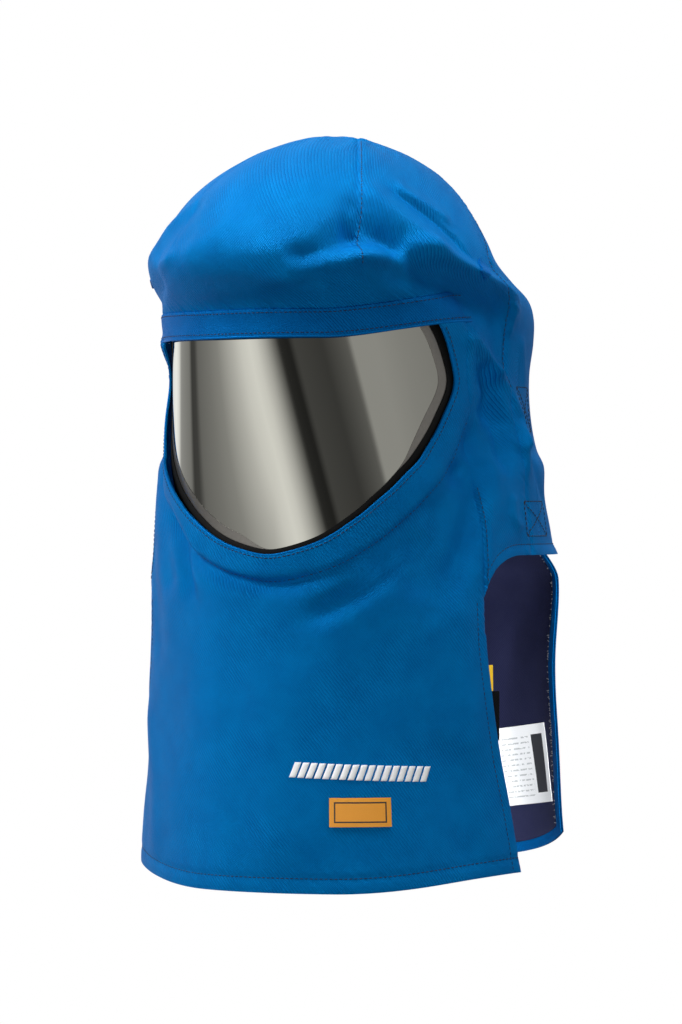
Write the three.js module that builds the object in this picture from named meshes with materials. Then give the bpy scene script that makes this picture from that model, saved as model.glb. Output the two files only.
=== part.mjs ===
// Arc flash hood: a cloth hood with a curved smoke visor, a long front bib and a back cape.
// Millimetres, +Z up, the face looks along -Y, the wearer's left is +X.
// The origin is the top of the head, just under the crown.
import * as THREE from 'three';

// Driving dimensions, in millimetres and degrees
const HEIGHT = 560;            // crown top to the bib's hem
const HALF_WIDTH = 140;        // half the width at the temples
const FRONT_REACH = 160;       // axis to the brow bulge
const BACK_REACH = 200;        // axis to the back of the neck
const CROWN_CLEARANCE = 1.5;   // head top to the inside of the crown
const FACE_RADIUS = 120;       // bend of the cloth round the visor
const CLOTH = 1.5;             // one layer of the outer cloth
const LINING = 1.2;            // navy inner cloth of the cape
const SEAM_GAP = 0.3;          // between two pieces sewn edge to edge
const LAYER_GAP = 0.3;         // between two layers that lie on each other
const FOLD_HEIGHT = 8;         // the deepest fold
const FOLD_WIDTH = 12;         // the widest fold, centre to flank

const BAND_HEIGHT = 20;        // brow band, its lower edge to its stitched top
const BAND_PROUD = 1.2;        // the doubled band over the crown's cloth
const BAND_DROP = 157;         // crown top to the band's lower edge, over the nose
const BAND_RISE = 13;          // how much higher the band sits at its left end
const BAND_RISE_RIGHT = 2;     // and at its right end
const BAND_TURN = 66.5;        // bearing of the band's ends
const FACE_TWIST = -4;         // how far the visor's cloth is turned to the wearer's right

const DART_START = 20;         // from the middle to each crown dart, over the ears
const DART_SPREAD = 22.5;      // angle of the darts, opening towards the brow
const OPENING_WIDTH = 263;     // visor opening, side to side along the cloth
const OPENING_DEPTH = 122.5;   // visor opening, widest level to the lowest point
const OPENING_DROP = 193;      // crown top to the opening's widest level
const VISOR_WALL = 2;
const VISOR_CENTRE = 5;        // middle of the visor's bend, behind the axis
const VISOR_CLEARANCE = 0.8;   // room left between the seal and the cloth
const VISOR_UNDERLAP = 9;      // visor edge past the opening, under the cloth
const SEAL_WALL = 1;
const SEAL_SHOW = 5;           // black strip seen inside the opening
const SEAL_UNDERLAP = 8;       // black strip under the cloth

const BIB_TURN = 70;           // bearing of the seam from the bib to the side
const BACK_TURN = 83;          // bearing of the seam from the side to the back
const CROWN_LEAN = 25;         // how much further back that seam runs over the crown
const SLIT_DROP = 316;         // crown top to the shell's hem over the side slit
const SLIT_TURN = 61;          // bearing of the bib's edge at the top of the slit
const SLIT_SPREAD = 12;        // how much further round the edge is at the hem
const HEM_RISE = 10;           // the bib's hem at the sides above its middle
const SLIT_CORNER = 34;        // height of the slit's rounded front corner

const CAPE_TURN = 130;         // bearing of the back cape's front edges
const CAPE_OVERLAP = 34;       // cape under the shell's hem
const CAPE_CORNER_RISE = 26;   // the cape's corners above its middle hem
const CAPE_FLARE = 12;         // how far the cape's edges stand out
const CAPE_FLARE_SPREAD = 32;  // and over how many degrees
const BINDING_WIDTH = 8;       // turned-in band round the cape

const LABEL_WIDTH = 58;
const LABEL_HEIGHT = 62;
const LABEL_DROP = 484;        // crown top to the label's middle
const LABEL_INSET = 6;         // from the cape's turned-in band
const LABEL_TILT = 8;
const LABEL_WALL = 0.6;
const TAB_WIDTH = 9;
const TAB_HEIGHT = 19;
const TAB_DROP = 406;
const STRAP_WIDTH = 10;
const STRAP_LENGTH = 36;
const STRAP_WALL = 1.4;
const PATCH_WIDTH = 45;
const PATCH_HEIGHT = 21;
const PATCH_TURN = 25;
const PATCH_DROP = 501;
const PATCH_WALL = 1;
const WELT_LENGTH = 26;
const WELT_HEIGHT = 6;
const WELT_WALL = 1.6;
const WELT_LEAD = 6;           // in front of the seam to the back, in degrees
const WELT_DROP = 106;
const WELT_TILT = 23;

// Cross-sections of the hood, crown to hem, an egg at each level.
// drop is a share of HEIGHT, width of HALF_WIDTH, front of FRONT_REACH, back and centre of BACK_REACH;
// square is how much fuller than an oval the back corners are.
const SECTION_COLUMNS = ['drop', 'width', 'front', 'back', 'centre', 'square'];
const SECTIONS = [
  [0.000, 0.000, 0.000, 0.000, 0.000, 0.00],
  [0.003, 0.135, 0.120, 0.100, 0.000, 0.00],
  [0.012, 0.265, 0.250, 0.200, 0.000, 0.00],
  [0.029, 0.420, 0.435, 0.335, 0.000, -0.02],
  [0.054, 0.575, 0.620, 0.455, -0.020, -0.04],
  [0.082, 0.695, 0.775, 0.545, -0.040, -0.06],
  [0.112, 0.790, 0.880, 0.620, -0.050, -0.08],
  [0.145, 0.875, 0.960, 0.685, -0.055, -0.10],
  [0.173, 0.930, 1.000, 0.720, -0.050, -0.11],
  [0.196, 0.965, 0.980, 0.780, 0.025, -0.06],
  [0.218, 0.990, 0.910, 0.865, 0.100, 0.00],
  [0.243, 0.995, 0.820, 0.905, 0.150, 0.01],
  [0.277, 0.985, 0.775, 0.915, 0.165, 0.01],
  [0.321, 0.970, 0.765, 0.890, 0.180, 0.00],
  [0.375, 0.985, 0.760, 0.865, 0.190, 0.00],
  [0.420, 1.010, 0.755, 0.890, 0.200, 0.00],
  [0.446, 1.045, 0.755, 0.925, 0.210, 0.00],
  [0.486, 1.060, 0.755, 0.880, 0.210, -0.02],
  [0.536, 1.080, 0.750, 0.975, 0.215, 0.00],
  [0.607, 1.110, 0.745, 1.050, 0.215, 0.00],
  [0.714, 1.110, 0.755, 0.995, 0.215, 0.00],
  [0.821, 1.120, 0.775, 1.000, 0.215, 0.00],
  [0.920, 1.145, 0.790, 1.030, 0.215, 0.00],
  [1.000, 1.170, 0.800, 1.060, 0.215, 0.00],
];

// Folds of the cloth, each a soft ridge (height above 0) or hollow along a line.
// Turns are bearings in degrees, drops shares of HEIGHT, width of FOLD_WIDTH, height of FOLD_HEIGHT,
// and other is the same fold's share on the wearer's right.
const FOLD_COLUMNS = ['turn1', 'drop1', 'turn2', 'drop2', 'width', 'height', 'other'];
const FOLDS = [
  [44, 0.096, 62, 0.159, 0.75, 0.65, 0.4],
  [62, 0.159, 86, 0.239, 0.75, 0.50, 0.4],
  [36, 0.118, 49, 0.163, 0.95, -0.80, 0.6],
  [36, 0.175, 46, 0.188, 0.70, 0.40, 0.6],
  [46, 0.204, 77, 0.241, 0.90, -0.60, 0.9],
  [66, 0.280, 76, 0.322, 0.55, 0.55, 0.9],
  [76, 0.322, 86, 0.415, 0.55, 0.65, 0.9],
  [71, 0.377, 57, 0.457, 0.75, -0.85, 0.7],
  [57, 0.457, 41, 0.595, 0.85, -0.75, 0.7],
  [46, 0.509, 30, 0.571, 0.90, -0.45, 0.5],
  [77, 0.268, 78, 0.380, 1.20, -0.70, 1.0],
  [-20, 0.620, -14, 0.960, 2.20, 0.35, 0.0],
  [30, 0.640, 52, 0.980, 2.40, -0.40, 0.8],
  [150, 0.300, 166, 0.520, 1.60, 0.50, 0.8],
];

// Reach of the visor opening from its middle, by bearing from straight down.
// reach is a share between OPENING_DEPTH straight down and half OPENING_WIDTH to the side.
const OPENING_COLUMNS = ['bearing', 'reach'];
const OPENING = [
  [0, 1.000],
  [16, 0.944],
  [27, 0.890],
  [40, 0.851],
  [55, 0.843],
  [69, 0.884],
  [81, 0.929],
  [92, 1.000],
  [103, 0.982],
  [115, 0.975],
  [140, 1.000],
  [180, 1.000],
];

const COLUMN_STEP = 9;         // grid of the faceted cloth: degrees round the hood
const CROWN_ROWS = 6;          // one row to a section on the crown,
const ROW_STEP = 0.65;         // and this share of a section below it

const DEGREE = Math.PI / 180;
const CROWN_TOP = CROWN_CLEARANCE + CLOTH;
const openingFoot = CROWN_TOP - OPENING_DROP - OPENING_DEPTH;
const UNROLL = FACE_RADIUS * DEGREE;           // millimetres of cloth to a degree round the face
const clamp = (x, low, high) => Math.min(high, Math.max(low, x));
const smooth = (x) => {
  const t = clamp(x, 0, 1);
  return t * t * (3 - 2 * t);
};
const named = (columns, rows) => rows.map(
  (row) => Object.fromEntries(columns.map((name, k) => [name, row[k]])),
);
const sections = named(SECTION_COLUMNS, SECTIONS);
const folds = named(FOLD_COLUMNS, FOLDS);
const opening = named(OPENING_COLUMNS, OPENING);

// A smooth curve through one column of the section table.
function along(column, place) {
  const last = sections.length - 1;
  const i = Math.min(Math.floor(clamp(place, 0, last)), last - 1);
  const t = clamp(place, 0, last) - i;
  const at = (k) => sections[clamp(k, 0, last)][column];
  const from = at(i);
  const to = at(i + 1);
  const before = i === 0 ? 2 * from - to : at(i - 1);
  const after = i + 2 > last ? 2 * to - from : at(i + 2);
  const tangent1 = (to - before) / 2;
  const tangent2 = (after - from) / 2;
  return (2 * t ** 3 - 3 * t ** 2 + 1) * from + (t ** 3 - 2 * t ** 2 + t) * tangent1
    + (3 * t ** 2 - 2 * t ** 3) * to + (t ** 3 - t ** 2) * tangent2;
}
const levelAt = (place) => CROWN_TOP - along('drop', place) * HEIGHT;

// The section place of a level, by halving.
function placeAt(level) {
  let low = 0;
  let high = sections.length - 1;
  for (let k = 0; k < 40; k += 1) {
    const middle = (low + high) / 2;
    if (levelAt(middle) > level) low = middle;
    else high = middle;
  }
  return (low + high) / 2;
}

// Height of all folds at a bearing and level: each is a bell across its line, fading at its ends.
function foldHeight(turn, level) {
  let sum = 0;
  for (const fold of folds) {
    for (const side of [1, -1]) {
      const share = side > 0 ? 1 : fold.other;
      const x1 = side * fold.turn1 * UNROLL;
      const z1 = CROWN_TOP - fold.drop1 * HEIGHT;
      const dx = side * fold.turn2 * UNROLL - x1;
      const dz = CROWN_TOP - fold.drop2 * HEIGHT - z1;
      const length = Math.hypot(dx, dz);
      const x = turn * UNROLL - x1;
      const z = level - z1;
      const run = clamp((x * dx + z * dz) / length ** 2, 0, 1);
      const away = Math.hypot(x - run * dx, z - run * dz);
      sum += share * fold.height * FOLD_HEIGHT * Math.exp(-((away / (fold.width * FOLD_WIDTH)) ** 2));
    }
  }
  return sum;
}

// How far the cape's edges stand out below the shell's hem.
function capeFlare(turn, level) {
  const below = smooth((CROWN_TOP - SLIT_DROP - level) / CAPE_OVERLAP + 0.4);
  const away = (Math.abs(turn) - CAPE_TURN) / CAPE_FLARE_SPREAD;
  return CAPE_FLARE * below * Math.exp(-(away ** 2));
}

// A point of the smooth hood, an egg at each level: bearing from the face in degrees and
// place down the section table.
function egg(turn, place) {
  const a = turn * DEGREE;
  const centre = along('centre', place) * BACK_REACH;
  const front = along('front', place) * FRONT_REACH + centre;
  const back = along('back', place) * BACK_REACH - centre;
  const full = Math.cos(a) > 0 ? 1 : 1 + along('square', place) * Math.sin(2 * a) ** 2;
  const x = along('width', place) * HALF_WIDTH * full * Math.sin(a);
  const y = centre - (Math.cos(a) > 0 ? front : back) * full * Math.cos(a);
  return new THREE.Vector3(x, y, levelAt(place));
}

// The same point with the folds and the flare.
function skin(turn, place) {
  const wrapped = turn > 180 ? turn - 360 : turn;
  const level = levelAt(place);
  const out = foldHeight(wrapped, level) + capeFlare(wrapped, level);
  const outward = new THREE.Vector3(Math.sin(turn * DEGREE), -Math.cos(turn * DEGREE), 0);
  return egg(turn, place).addScaledVector(outward, out * smooth(place / 3));
}

// A point of the cloth and its outward normal, taken where the folds are left out.
function cloth(turn, place) {
  const step = 0.01;
  const round = egg(turn + step, place).sub(egg(turn - step, place));
  const down = egg(turn, place + step).sub(egg(turn, Math.max(place - step, 0)));
  return [skin(turn, place), down.cross(round).normalize()];
}
// Millimetres of cloth to a radian of bearing.
const radius = (turn, place) => egg(turn + 0.5, place).distanceTo(egg(turn - 0.5, place)) / DEGREE;

// Edges of the pieces. Each gives millimetres along the cloth, above 0 on the side that it keeps.
const around = (turn, place, edge) => (turn - edge) * DEGREE * radius(turn, place);
const bandRise = (turn) => (turn > 0 ? BAND_RISE : BAND_RISE_RIGHT);
// 0 over the middle share of a bearing, 1 from the bearing on.
const outward = (turn, middle, bearing) => smooth((Math.abs(turn) / bearing - middle) / (1 - middle));
const bandLow = (turn) => CROWN_TOP - BAND_DROP + bandRise(turn) * outward(turn, 0.25, BAND_TURN);
const bandTop = (turn) => bandLow(turn) + BAND_HEIGHT;
const bibHem = (turn) => CROWN_TOP - HEIGHT + HEM_RISE * outward(turn, 0.25, SLIT_TURN + SLIT_SPREAD);

function bibEdge(level) {
  const slitTop = CROWN_TOP - SLIT_DROP - SLIT_CORNER;
  const seamTop = CROWN_TOP - BAND_DROP;
  const toSlit = smooth((seamTop - level) / (seamTop - slitTop));
  const seam = BAND_TURN + (BIB_TURN - BAND_TURN) * 4 * toSlit * (1 - toSlit);
  const toHem = smooth((slitTop - level) / (HEIGHT - SLIT_DROP));
  return seam + (SLIT_TURN - BAND_TURN) * toSlit + SLIT_SPREAD * toHem;
}
// The seam over the crown leans back by CROWN_LEAN, and less so at the very top.
function backEdge(place) {
  const crownPlace = 4;
  return BACK_TURN + CROWN_LEAN * (smooth(1 - (place - crownPlace) / 6) - smooth(1 - place / crownPlace) / 2);
}
const faceTwist = (level) => FACE_TWIST * smooth((level - openingFoot) / OPENING_DEPTH + 0.25);
function shellHem(turn) {
  const past = clamp((Math.abs(turn) - SLIT_TURN) * UNROLL / SLIT_CORNER, 0, 1);
  return CROWN_TOP - SLIT_DROP - SLIT_CORNER * (1 - Math.sqrt(1 - (1 - past) ** 2));
}
function openingReach(turn, level) {
  const x = Math.abs(turn - faceTwist(level)) * UNROLL;
  const z = level - (CROWN_TOP - OPENING_DROP);
  const bearing = Math.atan2(x, -z) / DEGREE;
  const k = Math.max(opening.findIndex((row) => row.bearing >= bearing), 1);
  const share = (bearing - opening[k - 1].bearing) / (opening[k].bearing - opening[k - 1].bearing);
  const reach = THREE.MathUtils.lerp(opening[k - 1].reach, opening[k].reach, share);
  const size = THREE.MathUtils.lerp(OPENING_DEPTH, OPENING_WIDTH / 2, Math.sin(bearing * DEGREE) ** 2);
  return Math.hypot(x, z) - reach * size;
}
// Bearing of the opening's left side at a level, by halving.
function openingTurn(level) {
  let low = 0;
  let high = 90;
  for (let k = 0; k < 30; k += 1) {
    const middle = (low + high) / 2;
    if (openingReach(middle, level) < 0) low = middle;
    else high = middle;
  }
  return low;
}
function capeHem(turn) {
  const out = clamp((180 - Math.abs(turn)) / (180 - CAPE_TURN), 0, 1);
  return CROWN_TOP - HEIGHT + CAPE_CORNER_RISE * out ** 3;
}

// The visor is a sheet bent to an oval, as wide as the cloth and the seal leave room for
// at the nose and along the opening's sides.
const stack = CLOTH + LAYER_GAP + SEAL_WALL + LAYER_GAP + VISOR_CLEARANCE;
const STEPS = 12;
const openingLevels = Array.from(
  { length: STEPS },
  (_, k) => THREE.MathUtils.lerp(CROWN_TOP - BAND_DROP, openingFoot, k / STEPS),
);
const visorDeep = Math.min(...openingLevels.map((z) => -skin(0, placeAt(z)).y)) - stack + VISOR_CENTRE;
const visorWide = Math.min(...openingLevels.slice(0, STEPS * 0.7).map((z) => {
  const reach = openingTurn(z) + SEAL_UNDERLAP / UNROLL;
  const edge = skin(reach, placeAt(z));
  const side = edge.x - stack * Math.sin(reach * DEGREE);
  const ahead = VISOR_CENTRE - edge.y - stack * Math.cos(reach * DEGREE);
  return side / Math.sqrt(1 - (ahead / visorDeep) ** 2);
}));
function shield(turn, place) {
  const toward = egg(turn, place);
  const a = Math.atan2(toward.x / visorWide, (VISOR_CENTRE - toward.y) / visorDeep);
  const normal = new THREE.Vector3(Math.sin(a) / visorWide, -Math.cos(a) / visorDeep, 0).normalize();
  const [across, forward] = [visorWide * Math.sin(a), visorDeep * Math.cos(a)];
  const point = new THREE.Vector3(across, VISOR_CENTRE - forward, levelAt(place));
  return [point, normal];
}

// The grid's rows as places down the section table.
function rowPlace(j) {
  const place = j < CROWN_ROWS ? j : CROWN_ROWS + (j - CROWN_ROWS) * ROW_STEP;
  return Math.min(place, sections.length - 1);
}

// Keep the part of a polygon where its corners' value number k is above 0, all else in proportion.
function clip(polygon, k, sign) {
  const kept = [];
  polygon.forEach((p, i) => {
    const q = polygon[(i + 1) % polygon.length];
    const [a, b] = [sign * p.values[k], sign * q.values[k]];
    if (a > 0) kept.push(p);
    if ((a > 0) !== (b > 0)) kept.push(a > 0 ? between(p, q, a / (a - b)) : between(q, p, b / (b - a)));
  });
  return kept;
}
const between = (p, q, t) => ({
  at: p.at.map((x, n) => x + (q.at[n] - x) * t),
  values: p.values.map((x, n) => x + (q.values[n] - x) * t),
  point: p.point.clone().lerp(q.point, t),
  normal: p.normal.clone().lerp(q.normal, t),
});

// One closed sheet: the triangles of the hood's grid between two bearings and two levels, cut by the edges.
// All sheets share the grid, so that neighbours have parallel faces. Where all of the cut edges are
// above 0 the sheet is left open.
function sheet({ turns, levels, edges = [], cut = [], surface = cloth, outer, inner }) {
  const corners = [];
  const numbers = new Map();
  const number = (corner) => {
    const key = corner.at.map((x) => x.toFixed(6)).join(' ');
    if (!numbers.has(key)) {
      numbers.set(key, corners.length);
      corners.push(corner);
    }
    return numbers.get(key);
  };
  const grid = (i, j) => {
    const [turn, place] = [i * COLUMN_STEP, rowPlace(j)];
    const [point, normal] = surface(turn, place);
    const values = [...edges, ...cut].map((edge) => edge(turn, place, levelAt(place)));
    return { at: [turn, place], values, point, normal };
  };
  const [firstPlace, lastPlace] = levels.map(placeAt);
  const faces = [];
  const trim = (triangle) => {
    let open = edges.reduce((part, edge, k) => clip(part, k, 1), triangle);
    let parts = cut.length ? [] : [open];
    cut.forEach((edge, n) => {
      const k = edges.length + n;
      parts = [...parts.flatMap((part) => [clip(part, k, -1), clip(part, k, 1)]), clip(open, k, -1)];
      open = clip(open, k, 1);
    });
    for (const part of parts) {
      const ring = part.map(number).filter((k, n, all) => k !== all[(n + 1) % all.length]);
      for (let k = 1; k + 1 < ring.length; k += 1) faces.push([ring[0], ring[k], ring[k + 1]]);
    }
  };
  for (let i = Math.floor(turns[0] / COLUMN_STEP); i * COLUMN_STEP < turns[1]; i += 1) {
    for (let j = 0; rowPlace(j) < lastPlace; j += 1) {
      if (rowPlace(j + 1) <= firstPlace) continue;
      const [a, b, c, d] = [grid(i, j), grid(i + 1, j), grid(i + 1, j + 1), grid(i, j + 1)];
      trim([a, b, c]);
      trim([a, c, d]);
    }
  }
  const half = corners.length;
  const layer = (depth) => corners.flatMap(
    ({ point, normal }) => point.clone().addScaledVector(normal, -depth).toArray(),
  );
  const rim = new Map();
  for (const [a, b, c] of faces) {
    for (const [from, to] of [[a, b], [b, c], [c, a]]) {
      if (!rim.delete(`${to} ${from}`)) rim.set(`${from} ${to}`, [from, to]);
    }
  }
  const index = faces.flatMap(([a, b, c]) => [a, c, b, a + half, b + half, c + half]);
  for (const [from, to] of rim.values()) index.push(from, to, to + half, from, to + half, from + half);
  const geometry = new THREE.BufferGeometry();
  geometry.setAttribute('position', new THREE.Float32BufferAttribute([...layer(outer), ...layer(inner)], 3));
  geometry.setIndex(index);
  return geometry;
}

const group = new THREE.Group();
const blue = new THREE.MeshStandardMaterial({ color: 0x0b6fc2, roughness: 0.8, metalness: 0 });
const darkBlue = new THREE.MeshStandardMaterial({ color: 0x0a5ea8, roughness: 0.8, metalness: 0 });
const navy = new THREE.MeshStandardMaterial({ color: 0x20264a, roughness: 0.9, metalness: 0 });
const black = new THREE.MeshStandardMaterial({ color: 0x0c0d0e, roughness: 0.7, metalness: 0 });
const smoke = new THREE.MeshStandardMaterial({ color: 0x6c6b64, roughness: 0.12, metalness: 0.4 });
const white = new THREE.MeshStandardMaterial({ color: 0xe6e8ea, roughness: 0.7, metalness: 0 });
const yellow = new THREE.MeshStandardMaterial({ color: 0xd9b411, roughness: 0.7, metalness: 0 });
const orange = new THREE.MeshStandardMaterial({ color: 0xf29a1c, roughness: 0.7, metalness: 0 });
function add(name, material, shape) {
  const mesh = new THREE.Mesh(sheet(shape), material);
  mesh.name = name;
  group.add(mesh);
}

const HALF_GAP = SEAM_GAP / 2;
const outerCloth = { outer: 0, inner: CLOTH };
const beyondDart = (turn, place) => {
  const { x, y } = skin(turn, place);
  return (Math.abs(x) - DART_START) * Math.cos(DART_SPREAD * DEGREE) + y * Math.sin(DART_SPREAD * DEGREE);
};
const aboveBand = (turn, place, level) => level - bandTop(turn);
const beyondBand = (turn, place, level) => around(Math.abs(turn - faceTwist(level)), place, bibEdge(level));
const beyondBack = (turn, place) => around(Math.abs(turn), place, backEdge(place));
const shift = (edge, by) => (...at) => edge(...at) - by;
const flip = (edge) => (...at) => -edge(...at);

// Crown panel between the two darts, above the brow band
add('crown_front', blue, {
  turns: [-117, 117], levels: [CROWN_TOP, CROWN_TOP - BAND_DROP], ...outerCloth,
  edges: [shift(flip(beyondDart), HALF_GAP), shift(flip(beyondBack), HALF_GAP), shift(aboveBand, HALF_GAP)],
});

// Side panels, from the darts over the temples down to the slits
for (const [name, side] of [['side_left', 1], ['side_right', -1]]) {
  add(name, blue, {
    turns: side > 0 ? [9, 117] : [-117, -9], levels: [CROWN_TOP, CROWN_TOP - SLIT_DROP - SLIT_CORNER],
    ...outerCloth,
    edges: [
      shift(beyondDart, HALF_GAP),
      shift(flip(beyondBack), HALF_GAP),
      (turn, place, level) => level - shellHem(turn) - HALF_GAP,
    ],
    cut: [flip(shift(beyondBand, HALF_GAP)), flip(shift(aboveBand, HALF_GAP))],
  });
}

// Back of the crown, the head and the neck
add('back_panel', blue, {
  turns: [75, 285], levels: [CROWN_TOP, CROWN_TOP - SLIT_DROP], ...outerCloth,
  edges: [
    (turn, place) => around(turn, place, backEdge(place)) - HALF_GAP,
    (turn, place) => -around(turn, place, 360 - backEdge(place)) - HALF_GAP,
    (turn, place, level) => level - shellHem(180),
  ],
});

// Doubled brow band over the visor
add('brow_band', darkBlue, {
  turns: [-81, 81], levels: [bandTop(90), bandLow(0)], outer: -BAND_PROUD, inner: CLOTH,
  edges: [
    shift(flip(aboveBand), HALF_GAP),
    (turn, place, level) => level - bandLow(turn) - HALF_GAP,
    shift(flip(beyondBand), HALF_GAP),
  ],
});

// Front bib, round the sides of the visor and down to the hem
add('front_bib', blue, {
  turns: [-82.5, 82.5], levels: [bandLow(90), CROWN_TOP - HEIGHT], ...outerCloth,
  edges: [
    (turn, place, level) => bandLow(turn) - level - HALF_GAP,
    shift(flip(beyondBand), HALF_GAP),
    (turn, place, level) => openingReach(turn, level),
    (turn, place, level) => level - bibHem(turn),
  ],
});

// Black seal strip between the cloth and the visor
add('visor_seal', black, {
  turns: [-90, 90], levels: [bandLow(90) + VISOR_UNDERLAP, openingFoot - SEAL_UNDERLAP],
  surface: shield, outer: -LAYER_GAP - SEAL_WALL, inner: -LAYER_GAP,
  edges: [
    (turn, place, level) => openingReach(turn, level) + SEAL_SHOW,
    (turn, place, level) => SEAL_UNDERLAP - openingReach(turn, level),
    (turn, place, level) => bandLow(turn) - level + 2,
  ],
});

// Curved smoke visor
add('visor', smoke, {
  turns: [-90, 90], levels: [bandLow(90) + VISOR_UNDERLAP, openingFoot - VISOR_UNDERLAP],
  surface: shield, outer: 0, inner: VISOR_WALL,
  edges: [
    (turn, place, level) => VISOR_UNDERLAP - openingReach(turn, level),
    (turn, place, level) => bandLow(turn) - level + VISOR_UNDERLAP,
  ],
});

// Back cape: blue cloth inside the shell's hem, navy lining, and the turned-in band round its edge
const capeOuter = CLOTH + LAYER_GAP;
const capeInner = capeOuter + CLOTH;
const liningOuter = capeInner + LAYER_GAP;
const capeFront = (turn, place) => around(turn, place, CAPE_TURN);
const capeFar = (turn, place) => -around(turn, place, 360 - CAPE_TURN);
const capeBottom = (turn, place, level) => level - capeHem(turn > 180 ? 360 - turn : turn);
const capeTop = (turn, place, level) => CROWN_TOP - SLIT_DROP + CAPE_OVERLAP - level;
const capeSides = [capeFront, capeFar, capeBottom];
const capeEdges = [...capeSides, capeTop];
const capeGrid = {
  turns: [CAPE_TURN - 5, 365 - CAPE_TURN], levels: [CROWN_TOP - SLIT_DROP + CAPE_OVERLAP, CROWN_TOP - HEIGHT],
};
add('back_cape', blue, { ...capeGrid, edges: capeEdges, outer: capeOuter, inner: capeInner });
add('cape_binding', darkBlue, {
  ...capeGrid, edges: capeEdges, cut: capeSides.map((edge) => shift(edge, BINDING_WIDTH)),
  outer: liningOuter, inner: liningOuter + LINING,
});
add('cape_lining', navy, {
  ...capeGrid, edges: [...capeSides.map((edge) => shift(edge, BINDING_WIDTH + SEAM_GAP)), capeTop],
  outer: liningOuter, inner: liningOuter + LINING,
});

// A small flat-woven piece sewn on the cloth, by its middle, its size and its tilt
function sewnOn(name, material, { turn, drop, width, height, tilt = 0, outer, inner }) {
  const place = placeAt(CROWN_TOP - drop);
  const span = (width + height) / 2 / (radius(turn, place) * DEGREE);
  const offset = (across, up) => (at, where, level) => {
    const x = (at - turn) * DEGREE * radius(turn, place);
    const z = level - (CROWN_TOP - drop);
    return x * across + z * up;
  };
  const [c, s] = [Math.cos(tilt * DEGREE), Math.sin(tilt * DEGREE)];
  add(name, material, {
    turns: [turn - span, turn + span],
    levels: [CROWN_TOP - drop + (width + height) / 2, CROWN_TOP - drop - (width + height) / 2],
    outer, inner,
    edges: [[c, -s, width], [-c, s, width], [s, c, height], [-s, -c, height]].map(
      ([across, up, size]) => (...at) => size / 2 - offset(across, up)(...at),
    ),
  });
}
const labelDepth = liningOuter + LINING + LAYER_GAP;
const labelPlace = placeAt(CROWN_TOP - LABEL_DROP);
const labelInset = BINDING_WIDTH + LABEL_INSET + LABEL_WIDTH / 2;
const labelTurn = CAPE_TURN + labelInset / (radius(CAPE_TURN, labelPlace) * DEGREE);
sewnOn('care_label', white, {
  turn: labelTurn, drop: LABEL_DROP, width: LABEL_WIDTH, height: LABEL_HEIGHT, tilt: LABEL_TILT,
  outer: labelDepth, inner: labelDepth + LABEL_WALL,
});
const underBib = CLOTH + LAYER_GAP;
const edgeTurn = bibEdge(CROWN_TOP - TAB_DROP);
sewnOn('side_tab', yellow, {
  turn: edgeTurn, drop: TAB_DROP, width: TAB_WIDTH, height: TAB_HEIGHT,
  outer: underBib, inner: underBib + LABEL_WALL,
});
sewnOn('side_strap', black, {
  turn: bibEdge(CROWN_TOP - TAB_DROP - STRAP_LENGTH),
  drop: TAB_DROP + (TAB_HEIGHT + STRAP_LENGTH) / 2 + SEAM_GAP,
  width: STRAP_WIDTH, height: STRAP_LENGTH, outer: underBib, inner: underBib + STRAP_WALL,
});
sewnOn('chest_patch', orange, {
  turn: PATCH_TURN, drop: PATCH_DROP, width: PATCH_WIDTH, height: PATCH_HEIGHT,
  outer: -LAYER_GAP - PATCH_WALL, inner: -LAYER_GAP,
});
for (const [name, side] of [['welt_left', 1], ['welt_right', -1]]) {
  sewnOn(name, darkBlue, {
    turn: side * (BACK_TURN - WELT_LEAD), drop: WELT_DROP, width: WELT_LENGTH, height: WELT_HEIGHT,
    tilt: side * -WELT_TILT, outer: -LAYER_GAP - WELT_WALL, inner: -LAYER_GAP,
  });
}

export default group;
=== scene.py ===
import math

import bpy
import numpy as np
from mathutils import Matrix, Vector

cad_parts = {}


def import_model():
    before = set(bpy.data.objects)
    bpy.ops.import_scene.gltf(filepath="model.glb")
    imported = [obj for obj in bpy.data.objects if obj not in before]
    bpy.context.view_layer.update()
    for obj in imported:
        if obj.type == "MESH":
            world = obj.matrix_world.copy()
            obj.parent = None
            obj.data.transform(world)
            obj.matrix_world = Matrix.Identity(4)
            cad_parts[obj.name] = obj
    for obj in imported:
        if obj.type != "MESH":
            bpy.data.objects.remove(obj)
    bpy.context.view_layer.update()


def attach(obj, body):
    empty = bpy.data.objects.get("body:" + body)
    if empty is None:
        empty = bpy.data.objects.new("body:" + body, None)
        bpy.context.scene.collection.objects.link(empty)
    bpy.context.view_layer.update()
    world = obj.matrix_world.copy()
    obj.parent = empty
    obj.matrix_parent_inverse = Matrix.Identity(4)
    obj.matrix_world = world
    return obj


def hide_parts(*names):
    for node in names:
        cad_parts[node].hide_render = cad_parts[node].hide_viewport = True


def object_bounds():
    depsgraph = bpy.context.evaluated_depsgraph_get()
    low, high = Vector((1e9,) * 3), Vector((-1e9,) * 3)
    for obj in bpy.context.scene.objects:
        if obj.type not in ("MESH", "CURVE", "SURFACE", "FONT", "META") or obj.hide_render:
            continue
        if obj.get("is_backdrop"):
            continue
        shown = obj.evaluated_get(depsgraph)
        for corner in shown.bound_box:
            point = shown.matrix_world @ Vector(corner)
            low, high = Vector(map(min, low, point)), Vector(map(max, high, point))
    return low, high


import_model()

# Sizes of the hood, in millimetres and degrees, as in the solid model
HEIGHT = 560
HALF_WIDTH = 140
FRONT_REACH = 160
BACK_REACH = 200
FACE_RADIUS = 120
CLOTH = 1.5
LINING = 1.2
SEAM_GAP = 0.3
LAYER_GAP = 0.3
FOLD_HEIGHT = 8
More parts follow.
